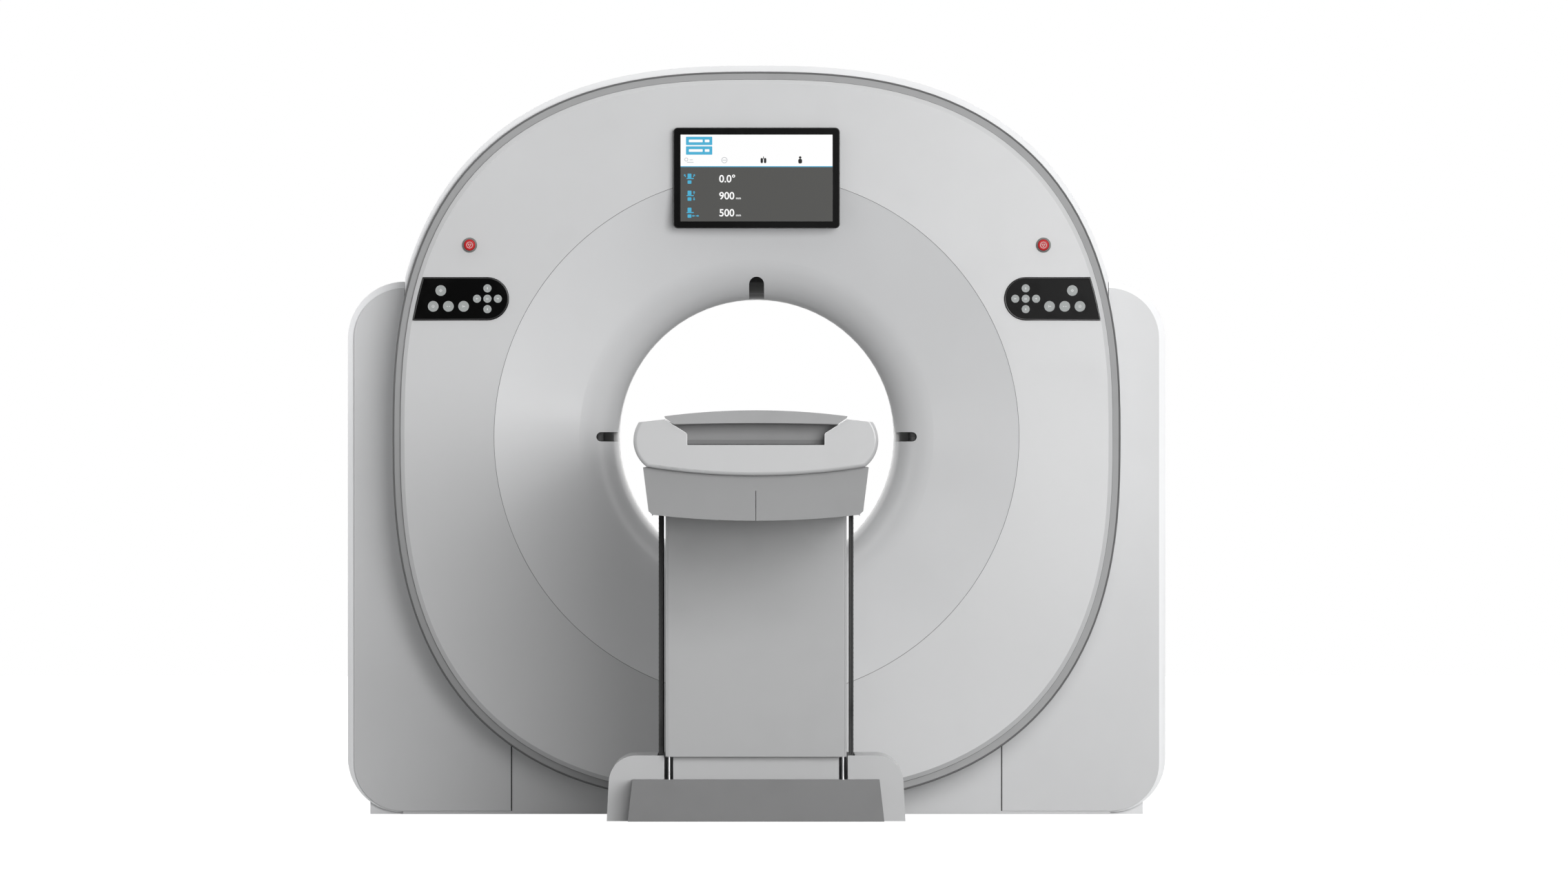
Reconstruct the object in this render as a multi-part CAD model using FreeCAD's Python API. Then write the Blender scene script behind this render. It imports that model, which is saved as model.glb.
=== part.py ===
import FreeCAD, Part
import os
from math import cos, pi, radians, sin, sqrt

# Whole-body imaging scanner: a tilting ring gantry on a floor stand, and a lifting table
# whose cradle runs through the ring.
# Frame, in millimetres: origin on the floor under the isocentre, +X to the right of someone
# at the table's foot end, +Y from the table through the ring, +Z up.

# ------------------------------------------------------------------ driving dimensions
BORE_R = 350.0           # clear tunnel radius
GANTRY_ROOM = 543.0      # barrel's half-width past the tunnel wall
SHELL_HALF_W = BORE_R + GANTRY_ROOM
CHORD_DOWN = BORE_R + 545.0      # isocentre to the end covers' flat chord
GROUND_GAP = 65.0        # chord above the floor, which leaves room to tilt
ISO_Z = CHORD_DOWN + GROUND_GAP  # isocentre above the floor
SEAM_R = BORE_R + 317.0  # round seam between funnel and front cover
SKIN = 6.0               # moulded cover wall

# gantry end covers: a superellipse with a flat chord at the bottom
COVER_HALF_W = SHELL_HALF_W + 29.0
COVER_UP = BORE_R + 575.0        # isocentre to cover top
COVER_DOWN = BORE_R + 580.0      # isocentre to where the curve alone would end
COVER_POWER = 2.6
FACE_Y = 430.0           # cover face, from the scan plane
RIM_Y = 395.0            # cover rim, and the end of the barrel shell
BAND_W = 18.0            # trim band around each end cover
BAND_DEPTH = 17.0
EDGE_BEVEL = 10.0
FLANGE_T = 6.0           # bulkhead at each end of the barrel shell
FUNNEL_LIP_R = 136.0     # curl of the funnel into the tunnel
FUNNEL_CONE_DEG = 15.3
SCAN_WINDOW_W = 120.0

# barrel shell
SHELL_CURVE_W = SHELL_HALF_W + 41.0    # half-width of the upper curve before it is cut flat
SHELL_UP = BORE_R + 593.0
SHELL_DOWN = BORE_R + 470.0
SHELL_LOW_POWER = 2.2

# floor stand and its covers
STAND_HALF_W = SHELL_HALF_W + 147.0
STAND_TOP = ISO_Z + 395.0
STAND_CORNER_TOP = 145.0
STAND_CORNER_LOW = 138.0
STAND_INNER_X = SHELL_HALF_W + 3.0    # stand covers start here, beside the barrel
STAND_FRONT_Y = 215.0
PLATE_T = 8.0
STAND_WALL = 20.0
STAND_RIM = 16.0         # cover rim that shows around the front plate
STAND_GROUND = 5.0       # covers stay this far off the floor
BASE_SPLIT_X = SHELL_HALF_W - 268.0
BEHIND_COVER = 24.0      # stand plates reach this far in behind the end cover's outline
BASE_COVER_TOP = GROUND_GAP + 10.0
LINER_T = 5.0
PLINTH_HALF_W = SHELL_HALF_W + 90.0
PLINTH_HALF_Y = 190.0
BEAM_W = 60.0
BEAM_TOP = 45.0
TOWER_X = (SHELL_HALF_W + 32.0, SHELL_HALF_W + 107.0)
TOWER_HALF_Y = 140.0
TOWER_TOP = ISO_Z + 230.0
TOWER_WALL = 10.0
TOWER_LOW_Z = 100.0
NECK_T = 42.0            # upright between the floor frame and a tower
NECK_TOP = 140.0
EAR_LOW_Z = 12.0         # underside of the strips that carry the front and rear plates
FLOOR_PAD_W = 80.0       # the frame reaches this far in from the towers
LUG_UP = 180.0           # cover lug above the isocentre
LUG_T = 20.0
ANCHOR_R = 9.0
ANCHOR_X = SHELL_HALF_W - 43.0
VENT_COUNT = 4
VENT_PITCH = 14.6
VENT_LOW_Z = 170.0
VENT_H = 8.0
VENT_HALF_Y = 110.0
SCOOP_Z = (262.0, 305.0)
SCOOP_DEPTH = 9.0

# tilt frame, its trunnions and drive
TRUNNION_R = 60.0
BEARING_R = TRUNNION_R + 35.0
BEARING_W = 40.0
GEARBOX_R = BEARING_R + 10.0
GEARBOX_FOOT = 22.0      # gearbox foot past its round body
GEARBOX_HALF_H = 40.0
TILT_MOTOR_R = 22.0
TILT_MOTOR_H = 225.0
TILT_MOTOR_TOP = 70.0    # below the isocentre
RUN_GAP = 0.05           # running fit, on the radius
ARM_HALF_H = 120.0
ARM_FRONT_Y = -70.0
RING_PLATE_R = (BORE_R + 175.0, BORE_R + 450.0)
RING_PLATE_Y = (170.0, 210.0)

# rotor
DRUM_R = (BORE_R + 50.0, BORE_R + 410.0)
DRUM_Y = (60.0, 100.0)
DRUM_RIM_T = 15.0
DRUM_RIM_FRONT = -200.0
RACE_SPLIT_R = BORE_R + 230.0
RACE_T = 40.0
SLIP_RING_R = (BORE_R + 80.0, BORE_R + 150.0)
BRUSH_HALF_W = 42.0
DRIVE_R = BORE_R + 353.0     # air gap radius of the ring motor
FOCUS_UP = BORE_R + 220.0        # X-ray focus above the isocentre
DETECTOR_R = 2 * FOCUS_UP - 100.0      # focus to detector face
DETECTOR_T = 50.0
DETECTOR_HALF_DEG = 26.0
BEAM_HALF_Y = 60.0
TUBE_R = 95.0
TUBE_FRONT_Y = -150.0
TUBE_RISE = 30.0         # tube's middle above the focus
NECK_HALF_W = 70.0
COLLIMATOR_HALF_W = 90.0
COLLIMATOR_Z = (10.0, 65.0)      # below the tube
BLOCK_X = (BORE_R + 90.0, DRUM_R[1] - 60.0)      # generator and its counterweight
BLOCK_FRONT_Y = -140.0
BLOCK_HALF_H = 150.0
LOW_WEIGHT_HALF_W = 190.0
LOW_WEIGHT_FRONT_Y = -40.0
LOW_WEIGHT_GAP = 30.0    # under the detector
BALANCE_LOW_H = 75.0     # radial height of the trim weight beside the detector

# controls and display
PANEL_H = 110.0
PANEL_UP = BORE_R + 0.6  # isocentre to the middle of each key panel
PANEL_ROUND_X = SEAM_R + 16.3    # centre of the panel's round end, and of the key cross
PANEL_PROUD = 3.0
PANEL_T = 12.0
KEY_BIG_R = 13.6
KEY_SMALL_R = 10.3
KEY_CROSS = 26.4         # key cross pitch
KEY_ROW_PITCH = 38.6
KEY_ROW_X = PANEL_ROUND_X + 60.5
KEY_ROW_DROP = 19.3
KEY_TOP_RISE = 20.8
KEY_PROUD = 2.5
KEY_GAP = 0.3
KEY_LENGTH = 12.0
ESTOP_X = SEAM_R + 61.4
ESTOP_UP = BORE_R + 137.0
ESTOP_R = 14.2
ESTOP_COLLAR_R = (14.6, 18.0)
ESTOP_COLLAR_H = 6.0
ESTOP_HEAD = 10.0
ESTOP_LIFT = 6.0         # head above the cover at rest
ESTOP_STEM_R = 6.0
DISPLAY_HALF_W = 210.0
DISPLAY_UP = (BORE_R + 180.6, BORE_R + 433.6)
DISPLAY_CORNER_R = 10.0
DISPLAY_FRONT = 24.0     # display face ahead of the cover face
DISPLAY_BORDER = 15.5
SCREEN_T = 5.0
LASER_TOP_W = 38.0
LASER_SIDE_W = 24.0
LASER_REACH = 57.0       # windows reach this far out from the tunnel wall
LASER_INNER_Y = 258.0

# table: section sizes, their heights taken from the cradle's edge
CRADLE_EDGE_Z = ISO_Z + 46.0
CAP_HALF_W = 303.0
CAP_WIDEST_Z = CRADLE_EDGE_Z - 63.0
CAP_SHOULDER = (290.0, CRADLE_EDGE_Z - 10.0)
CAP_LOW_CORNER = (270.0, CRADLE_EDGE_Z - 121.0)
CAP_LOW_Z = CRADLE_EDGE_Z - 142.5
TROUGH_TOP = (227.0, CRADLE_EDGE_Z - 3.0)
TROUGH_LOW = (171.0, CRADLE_EDGE_Z - 38.4)
TROUGH_FLOOR = CRADLE_EDGE_Z - 66.4
RAIL_SKIN = 6.0
PLATE_Z = (CRADLE_EDGE_Z - 74.0, CRADLE_EDGE_Z - 67.0)
CRADLE_LOW_Z = CRADLE_EDGE_Z - 58.0
CRADLE_GAP = 5.0
CRADLE_DIP_Z = CRADLE_EDGE_Z - 22.0
PAD_HALF_W = 203.0
PAD_TOP_Z = CRADLE_EDGE_Z + 5.0
SOFT_GAP = 0.3
GRIP_TOP_END = CRADLE_EDGE_Z + 4.8
GRIP_TOP_MID = CRADLE_EDGE_Z + 19.5
GRIP_LOW_Z = CRADLE_EDGE_Z - 15.0
GRIP_LOW_MID = CRADLE_EDGE_Z - 12.0
HOUSING_TOP_W = 281.0
HOUSING_LOW_W = 266.0
HOUSING_LOW_Z = (CRADLE_EDGE_Z - 254.0, CRADLE_EDGE_Z - 239.5)   # at the middle and the sides
HOUSING_SEAM_Z = CRADLE_EDGE_Z - 180.0

# table: places along Y, taken from its foot end and its head end
TABLE_FOOT_Y = -2950.0
TABLE_HEAD_Y = -600.0
CAP_Y = (TABLE_FOOT_Y, TABLE_FOOT_Y + 60.0)
HOUSING_Y = (TABLE_FOOT_Y + 25.0, TABLE_HEAD_Y - 40.0)
CRADLE_HEAD_Y = TABLE_HEAD_Y + 100.0
GRIP_FRONT_Y = TABLE_FOOT_Y - 5.0
COLUMN_Y = (-2180.0, -997.0)     # outer faces of the front and rear column panels

# table: base and lift
HUMP_HALF_W = (373.0, 368.0)     # at the floor, and below the top edge
HUMP_TOP = 164.0
HUMP_CORNER_R = 68.0
HUMP_Y = (-2150.0, -980.0)
HUMP_WALL = 6.0
FOOT_HALF_W = (320.0, 308.0)
FOOT_TOP = 105.0
FOOT_FRONT_Y = -2290.0
FOOT_WALL = 4.0
PANEL_HALF_W = 226.0
FRONT_PANEL_T = 20.0
REAR_PANEL_T = 15.0
PANEL_LOW_Z = 161.0
MID_TOP_Z = HOUSING_LOW_Z[0] + 31.0
SKIRT_X = (233.0, 243.0)
SKIRT_LOW_Z = 166.0
MOVE_GAP = 4.0
BASE_PLATE_T = 12.0
BASE_HALF_W = 290.0
LINK_HALF_W = 100.0
LINK_T = 4.0
TABLE_ANCHOR_X = 260.0
TABLE_ANCHOR_Y = (-2040.0, -1090.0)
ROD_X = 217.0
ROD_R = 7.0
ROD_TOP_Z = 620.0
SLOT_W = 22.0
UPPER_ROD_X = 170.0
UPPER_ROD_R = 12.0
UPPER_ROD_LOW_Z = 470.0
BUSH_GAP = 0.1
CARRIAGE_Z = (560.0, 600.0)
ACTUATOR_R = 55.0
ACTUATOR_BORE_R = 32.0
ACTUATOR_TOP_Z = 555.0
ACTUATOR_ROD_LOW_Z = 330.0
ROLLER_R = 10.0
ROLLER_COUNT = 12
ROLLER_LEN = 60.0
ROLLER_X = 110.0
ROLLER_END = 100.0       # first and last roller, from the ends of the frame
ROLLER_PIN_R = 2.5
FRAME_RAIL_X = (190.0, 250.0)
FRAME_RAIL_H = 22.0
FRAME_SIDE_GAP = 2.6     # frame plate to the widest place of the rails' inner side
SLIDE_MOTOR_R = 34.0
SLIDE_MOTOR_X = (-80.0, 90.0)
SLIDE_BOX_W = 40.0
SLIDE_BOX_H = 70.0
SLIDE_MOTOR_BACK = 190.0
HOUSING_WALL = 5.0
COLUMN_ROOM_X = 250.0
# lift carriage
CARRIAGE_FRONT = 130.0   # depth of its front and rear cross members
CARRIAGE_REAR = 98.0
CARRIAGE_BAR_X = (110.0, 145.0)
CARRIAGE_POST_X = (60.0, 100.0)
CARRIAGE_POST_T = 20.0
TOP_RING_T = 13.0
TOP_RING_OPEN_X = 200.0
TOP_RING_OPEN_Y = 30.0
LINK_END = 25.0          # floor link stops this far behind the stand's front plate

SIDES = (-1, 1)
FAR = 6000.0             # cutting blocks reach this far, past every piece


# ------------------------------------------------------------------ helpers
def vec(x, y, z):
    return FreeCAD.Vector(x, y, z)


def box(x0, x1, y0, y1, z0, z1):
    return Part.makeBox(x1 - x0, y1 - y0, z1 - z0, vec(x0, y0, z0))


def side_box(side, x0, x1, y0, y1, z0, z1):
    """Box between two distances from the middle plane, on the left or the right."""
    low, high = sorted((side * x0, side * x1))
    return box(low, high, y0, y1, z0, z1)


def rod_x(r, x0, x1, y, z):
    return Part.makeCylinder(r, abs(x1 - x0), vec(min(x0, x1), y, z), vec(1, 0, 0))


def rod_y(r, y0, y1, x=0.0, z=ISO_Z):
    return Part.makeCylinder(r, y1 - y0, vec(x, y0, z), vec(0, 1, 0))


def rod_z(r, z0, z1, x, y):
    return Part.makeCylinder(r, z1 - z0, vec(x, y, z0), vec(0, 0, 1))


def ring_y(r0, r1, y0, y1):
    return rod_y(r1, y0, y1).cut(rod_y(r0, y0, y1))


def prism_y(wire, y0, y1):
    """Solid from a closed outline drawn in the XZ plane at y = 0."""
    face = Part.Face(wire)
    face.translate(vec(0, y0, 0))
    return face.extrude(vec(0, y1 - y0, 0))


def outline_xz(points):
    """Closed wire through (x, z) points; a point ("arc", x, z) bends the edge to the next one."""
    edges = []
    here = points[0]
    index = 1
    while index <= len(points):
        step = points[index % len(points)]
        if step[0] == "arc":
            end = points[(index + 1) % len(points)]
            edges.append(Part.Arc(vec(here[0], 0, here[1]), vec(step[1], 0, step[2]),
                                  vec(end[0], 0, end[1])).toShape())
            here = end
            index += 2
        else:
            edges.append(Part.LineSegment(vec(here[0], 0, here[1]),
                                          vec(step[0], 0, step[1])).toShape())
            here = step
            index += 1
    return Part.Wire(edges)


def superellipse(half_w, up, down, power_up, power_down, steps=72):
    """Closed smooth outline about the isocentre, from its formula."""
    points = []
    for step in range(steps):
        angle = 2 * pi * step / steps
        c, s = cos(angle), sin(angle)
        power = power_up if s >= 0 else power_down
        height = up if s >= 0 else down
        x = half_w * (1 if c >= 0 else -1) * abs(c) ** (2 / power)
        z = height * (1 if s >= 0 else -1) * abs(s) ** (2 / power)
        points.append(vec(x, 0, ISO_Z + z))
    curve = Part.BSplineCurve()
    curve.interpolate(Points=points, PeriodicFlag=True)
    return Part.Wire(curve.toShape())


def cover_outline(inset):
    return superellipse(COVER_HALF_W - inset, COVER_UP - inset, COVER_DOWN - inset,
                        COVER_POWER, COVER_POWER)


def cover_prism(inset, y0, y1, chord_inset=None):
    """End-cover outline as a solid, cut off at its flat chord."""
    lift = inset if chord_inset is None else chord_inset
    solid = prism_y(cover_outline(inset), y0, y1)
    return solid.common(box(-FAR, FAR, y0 - 1, y1 + 1, ISO_Z - CHORD_DOWN + lift, FAR))


def shell_prism(inset, y0, y1):
    """Barrel outline: upper curve cut flat at the sides, and a fuller lower curve."""
    upper = prism_y(superellipse(SHELL_CURVE_W - inset, SHELL_UP - inset, SHELL_UP - inset,
                                 COVER_POWER, COVER_POWER), y0, y1)
    half_w = SHELL_HALF_W - inset
    upper = upper.common(box(-half_w, half_w, y0, y1, ISO_Z, FAR))
    lower = prism_y(superellipse(half_w, SHELL_DOWN - inset, SHELL_DOWN - inset,
                                 SHELL_LOW_POWER, SHELL_LOW_POWER), y0, y1)
    lower = lower.common(box(-half_w, half_w, y0, y1, 0, ISO_Z))
    return upper.fuse(lower).removeSplitter()


def mirror_y(shape):
    return shape.mirror(vec(0, 0, 0), vec(0, 1, 0))


def mirror_x(shape):
    return shape.mirror(vec(0, 0, 0), vec(1, 0, 0))


# ------------------------------------------------------------------ funnel profile
def funnel_curve(offset):
    """Points of the funnel's surface, moved back by offset, as (r, y) from tunnel to seam."""
    slope = radians(FUNNEL_CONE_DEG)
    curl = FUNNEL_LIP_R - offset
    cone_run = SEAM_R - (BORE_R + FUNNEL_LIP_R * (1 - sin(slope)))
    centre_r = BORE_R + FUNNEL_LIP_R
    centre_y = -FACE_Y + cone_run * (sin(slope) / cos(slope)) + FUNNEL_LIP_R * cos(slope)
    start = (centre_r - curl, centre_y)
    middle_angle = (pi / 2 - slope) / 2
    middle = (centre_r - curl * cos(middle_angle), centre_y - curl * sin(middle_angle))
    tangent = (centre_r - curl * sin(slope), centre_y - curl * cos(slope))
    end = (SEAM_R, tangent[1] - (SEAM_R - tangent[0]) * (sin(slope) / cos(slope)))
    return start, middle, tangent, end


def revolve_ry(edges):
    """Turn a closed outline in the (r, y) half-plane about the tunnel axis."""
    face = Part.Face(Part.Wire(edges))
    return face.revolve(vec(0, 0, ISO_Z), vec(0, 1, 0), 360)


def ry(point):
    return vec(point[0], point[1], ISO_Z)


def line_ry(a, b):
    return Part.LineSegment(ry(a), ry(b)).toShape()


def funnel_solid():
    front = funnel_curve(0.0)
    back = funnel_curve(SKIN)
    tube_end = -SCAN_WINDOW_W / 2
    edges = [
        line_ry((BORE_R, tube_end), front[0]),
        Part.Arc(ry(front[0]), ry(front[1]), ry(front[2])).toShape(),
        line_ry(front[2], front[3]),
        line_ry(front[3], back[3]),
        line_ry(back[3], back[2]),
        Part.Arc(ry(back[2]), ry(back[1]), ry(back[0])).toShape(),
        line_ry(back[0], (BORE_R + SKIN, tube_end)),
        line_ry((BORE_R + SKIN, tube_end), (BORE_R, tube_end)),
    ]
    return revolve_ry(edges)


def funnel_clearance():
    """Everything in front of the funnel's surface, inside the seam."""
    front = funnel_curve(0.0)
    edges = [
        line_ry((0, -FACE_Y - 200), (SEAM_R, -FACE_Y - 200)),
        line_ry((SEAM_R, -FACE_Y - 200), front[3]),
        line_ry(front[3], front[2]),
        Part.Arc(ry(front[2]), ry(front[1]), ry(front[0])).toShape(),
        line_ry(front[0], (0, front[0][1])),
        line_ry((0, front[0][1]), (0, -FACE_Y - 200)),
    ]
    return revolve_ry(edges)


# ------------------------------------------------------------------ gantry stand
def stand_outline(inset):
    """Stand cover seen from the front, right side, before the end cover's opening is cut."""
    out_x = STAND_HALF_W - inset
    top = STAND_TOP - inset
    low = STAND_GROUND + min(inset, 3.0)
    r_top = STAND_CORNER_TOP - inset
    r_low = STAND_CORNER_LOW - inset
    bend = 1 - sqrt(0.5)
    return outline_xz([
        (BASE_SPLIT_X, low), (out_x - r_low, low),
        ("arc", out_x - bend * r_low, low + bend * r_low), (out_x, low + r_low),
        (out_x, top - r_top),
        ("arc", out_x - bend * r_top, top - bend * r_top), (out_x - r_top, top),
        (BASE_SPLIT_X, top)])


def stand_opening(y0, y1):
    """Room for the barrel between the stand's plates."""
    curve = cover_prism(BEHIND_COVER, y0, y1, chord_inset=CHORD_DOWN - (ISO_Z - BASE_COVER_TOP))
    beside = box(-STAND_INNER_X, STAND_INNER_X, y0, y1, ISO_Z, STAND_TOP + 10)
    return curve.fuse(beside)


def side_cover():
    """Right side cover: a bent wall with vents and a grip scoop on its outer face."""
    y = STAND_FRONT_Y - PLATE_T
    wall = prism_y(stand_outline(0.0), -y, y).cut(prism_y(stand_outline(STAND_WALL), -y, y))
    wall = wall.cut(box(0, STAND_INNER_X, -y - 1, y + 1, -10, STAND_TOP + 10))
    clear = 1.0
    wall = wall.cut(box(0, PLINTH_HALF_W + clear, -PLINTH_HALF_Y - clear, PLINTH_HALF_Y + clear,
                        -1, BEAM_TOP + clear))
    for step in range(VENT_COUNT):
        z = VENT_LOW_Z + step * VENT_PITCH
        wall = wall.cut(box(STAND_HALF_W - STAND_WALL - 1, STAND_HALF_W + 1,
                            -VENT_HALF_Y, VENT_HALF_Y, z - VENT_H / 2, z + VENT_H / 2))
    scoop = outline_xz([(STAND_HALF_W + 1, SCOOP_Z[1]), (STAND_HALF_W - SCOOP_DEPTH, SCOOP_Z[1]),
                        (STAND_HALF_W - SCOOP_DEPTH, SCOOP_Z[1] - 12),
                        (STAND_HALF_W + 1, SCOOP_Z[0])])
    return wall.cut(prism_y(scoop, -VENT_HALF_Y, VENT_HALF_Y))


def wing_plate():
    """Right front plate of the stand."""
    y0, y1 = -STAND_FRONT_Y, -STAND_FRONT_Y + PLATE_T
    plate = prism_y(stand_outline(STAND_RIM), y0, y1)
    return plate.cut(stand_opening(y0 - 1, y1 + 1))


def base_cover():
    y0, y1 = -STAND_FRONT_Y, -STAND_FRONT_Y + PLATE_T
    seam = 0.75
    plate = box(-BASE_SPLIT_X + seam, BASE_SPLIT_X - seam, y0, y1, STAND_GROUND, ISO_Z)
    return plate.cut(stand_opening(y0 - 1, y1 + 1))


def trough_liner():
    """Curved cover under the barrel, between the stand's front and rear plates."""
    y = STAND_FRONT_Y - PLATE_T
    chord_drop = CHORD_DOWN - (ISO_Z - BASE_COVER_TOP)
    outer = cover_prism(BEHIND_COVER - LINER_T, -y, y, chord_inset=chord_drop - LINER_T)
    liner = outer.cut(stand_opening(-y - 1, y + 1))
    return liner.common(box(-FAR, FAR, -y, y, 0, ISO_Z - TRUNNION_R - 10))


def gantry_stand():
    """Welded floor frame with its two towers."""
    y = STAND_FRONT_Y - PLATE_T
    frame = box(-PLINTH_HALF_W, PLINTH_HALF_W, -PLINTH_HALF_Y, -PLINTH_HALF_Y + BEAM_W, 0, BEAM_TOP)
    frame = frame.fuse(box(-PLINTH_HALF_W, PLINTH_HALF_W, PLINTH_HALF_Y - BEAM_W, PLINTH_HALF_Y,
                           0, BEAM_TOP))
    ear_x = STAND_INNER_X - 2
    for end in SIDES:
        low, high = sorted((end * (PLINTH_HALF_Y - BEAM_W), end * y))
        frame = frame.fuse(box(-ear_x, ear_x, low, high, EAR_LOW_Z, BEAM_TOP))
    for side in SIDES:
        frame = frame.fuse(side_box(side, STAND_INNER_X - FLOOR_PAD_W, PLINTH_HALF_W,
                                    -PLINTH_HALF_Y, PLINTH_HALF_Y, 0, BEAM_TOP))
        neck = side_box(side, TOWER_X[0] - 12, TOWER_X[0] - 12 + NECK_T, -TOWER_HALF_Y, TOWER_HALF_Y,
                        BEAM_TOP, NECK_TOP)
        tower = side_box(side, TOWER_X[0], TOWER_X[1], -TOWER_HALF_Y, TOWER_HALF_Y,
                         TOWER_LOW_Z, TOWER_TOP)
        inner = side_box(side, TOWER_X[0] + TOWER_WALL, TOWER_X[1] + 1,
                         -TOWER_HALF_Y + TOWER_WALL, TOWER_HALF_Y - TOWER_WALL,
                         TOWER_LOW_Z + TOWER_WALL, TOWER_TOP - TOWER_WALL)
        boss = rod_x(BEARING_R + 25, side * TOWER_X[0], side * (TOWER_X[0] + BEARING_W), 0, ISO_Z)
        lug = side_box(side, TOWER_X[1] - 12, STAND_HALF_W - STAND_WALL, -TOWER_HALF_Y,
                       TOWER_HALF_Y, ISO_Z + LUG_UP, ISO_Z + LUG_UP + LUG_T)
        bore = rod_x(BEARING_R, side * (TOWER_X[0] - 1), side * (TOWER_X[0] + BEARING_W + 1), 0, ISO_Z)
        frame = frame.fuse(neck).fuse(tower.cut(inner)).fuse(boss).fuse(lug).cut(bore)
        for end in SIDES:
            frame = frame.cut(rod_z(ANCHOR_R, -1, BEAM_TOP + 1, side * ANCHOR_X,
                                    end * (PLINTH_HALF_Y - BEAM_W / 2)))
    return frame.removeSplitter()


def tilt_drive():
    """Trunnion bearings, and the gearbox and motor that hold the tilt at the left trunnion."""
    pieces = []
    for side in SIDES:
        x0, x1 = side * TOWER_X[0], side * (TOWER_X[0] + BEARING_W)
        pieces.append(rod_x(BEARING_R, x0, x1, 0, ISO_Z)
                      .cut(rod_x(TRUNNION_R + RUN_GAP, x0, x1, 0, ISO_Z)))
    x0, x1 = -(TOWER_X[0] + BEARING_W + 2), -(TOWER_X[1] - 2)
    hole = rod_x(TRUNNION_R + RUN_GAP, x0 + 1, x1 - 1, 0, ISO_Z)
    gearbox = rod_x(GEARBOX_R, x0, x1, 0, ISO_Z).fuse(
        box(x1, x0, -GEARBOX_R - GEARBOX_FOOT, GEARBOX_R + GEARBOX_FOOT,
            ISO_Z - GEARBOX_HALF_H, ISO_Z + GEARBOX_HALF_H))
    motor_top = ISO_Z - TILT_MOTOR_TOP
    motor = rod_z(TILT_MOTOR_R, motor_top - TILT_MOTOR_H, motor_top, -(TOWER_X[1] - 10), 0)
    pieces.append(gearbox.fuse(motor).cut(hole))
    return pieces


# ------------------------------------------------------------------ tilting gantry
def tilt_frame():
    """Cast ring that carries everything that tilts, with its two trunnions."""
    frame = ring_y(RING_PLATE_R[0], RING_PLATE_R[1], RING_PLATE_Y[0], RING_PLATE_Y[1])
    arm_out = SHELL_HALF_W - SKIN
    inside_shell = shell_prism(SKIN, ARM_FRONT_Y, RING_PLATE_Y[1])
    for side in SIDES:
        arm = side_box(side, RING_PLATE_R[1] - 10, arm_out, ARM_FRONT_Y, RING_PLATE_Y[1],
                       ISO_Z - ARM_HALF_H, ISO_Z + ARM_HALF_H)
        frame = frame.fuse(arm.common(inside_shell))
        frame = frame.fuse(rod_x(TRUNNION_R, side * (arm_out - 10), side * (TOWER_X[1] - 4),
                                 0, ISO_Z))
    return frame.cut(rod_y(RING_PLATE_R[0], RING_PLATE_Y[0] - 1, RING_PLATE_Y[1] + 1))


def barrel_shell():
    """Barrel skin, and a bulkhead at each end that the end covers stand on."""
    skin_y = RIM_Y - FLANGE_T
    shell = shell_prism(0.0, -skin_y, skin_y).cut(shell_prism(SKIN, -skin_y - 1, skin_y + 1))
    for side in SIDES:
        shell = shell.cut(rod_x(TRUNNION_R + 2, side * (SHELL_HALF_W - 20),
                                side * (SHELL_HALF_W + 5), 0, ISO_Z))
    bulkhead = cover_prism(1.0, -RIM_Y, -skin_y).fuse(shell_prism(0.0, -RIM_Y, -skin_y))
    bulkhead = bulkhead.cut(rod_y(SEAM_R + 38, -RIM_Y - 1, -skin_y + 1)).removeSplitter()
    return [shell, bulkhead, mirror_y(bulkhead)]


def cover_shell():
    """End cover: bevelled face and rim wall, open at the back."""
    bevel_y = -FACE_Y + EDGE_BEVEL
    solid = prism_y(cover_outline(BAND_W), bevel_y, -RIM_Y)
    ends = []
    for inset, y in ((BAND_W, bevel_y), (BAND_W + EDGE_BEVEL, -FACE_Y)):
        wire = cover_outline(inset)
        wire.translate(vec(0, y, 0))
        ends.append(wire)
    solid = solid.fuse(Part.makeLoft(ends, True, True))
    solid = solid.common(box(-FAR, FAR, -FACE_Y - 1, -RIM_Y,
                             ISO_Z - CHORD_DOWN + BAND_W, FAR))
    inner = cover_prism(BAND_W + SKIN + EDGE_BEVEL, -FACE_Y + SKIN + 2, -RIM_Y + 1)
    return solid.cut(inner)


def trim_band():
    band = cover_prism(0.0, -RIM_Y - BAND_DEPTH, -RIM_Y)
    return band.cut(cover_prism(BAND_W, -RIM_Y - BAND_DEPTH - 1, -RIM_Y + 1))


def panel_outline(grow):
    """Left key panel: flat stretch and a round end, as a long solid still to be trimmed."""
    half = PANEL_H / 2 + grow
    z = ISO_Z + PANEL_UP
    bar = box(-COVER_HALF_W, -PANEL_ROUND_X, -FACE_Y - 20, -FACE_Y + 60, z - half, z + half)
    return bar.fuse(rod_y(half, -FACE_Y - 20, -FACE_Y + 60, -PANEL_ROUND_X, z))


def key_places():
    """Left panel keys as (x, z, radius), round the cross first, then the row."""
    z = ISO_Z + PANEL_UP
    x = -PANEL_ROUND_X
    places = [(x, z, KEY_SMALL_R), (x, z + KEY_CROSS, KEY_SMALL_R), (x + KEY_CROSS, z, KEY_SMALL_R),
              (x, z - KEY_CROSS, KEY_SMALL_R), (x - KEY_CROSS, z, KEY_SMALL_R)]
    for step in range(3):
        places.append((-KEY_ROW_X - step * KEY_ROW_PITCH, z - KEY_ROW_DROP, KEY_BIG_R))
    places.append((-KEY_ROW_X - 1.5 * KEY_ROW_PITCH, z + KEY_TOP_RISE, KEY_BIG_R))
    return places


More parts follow.
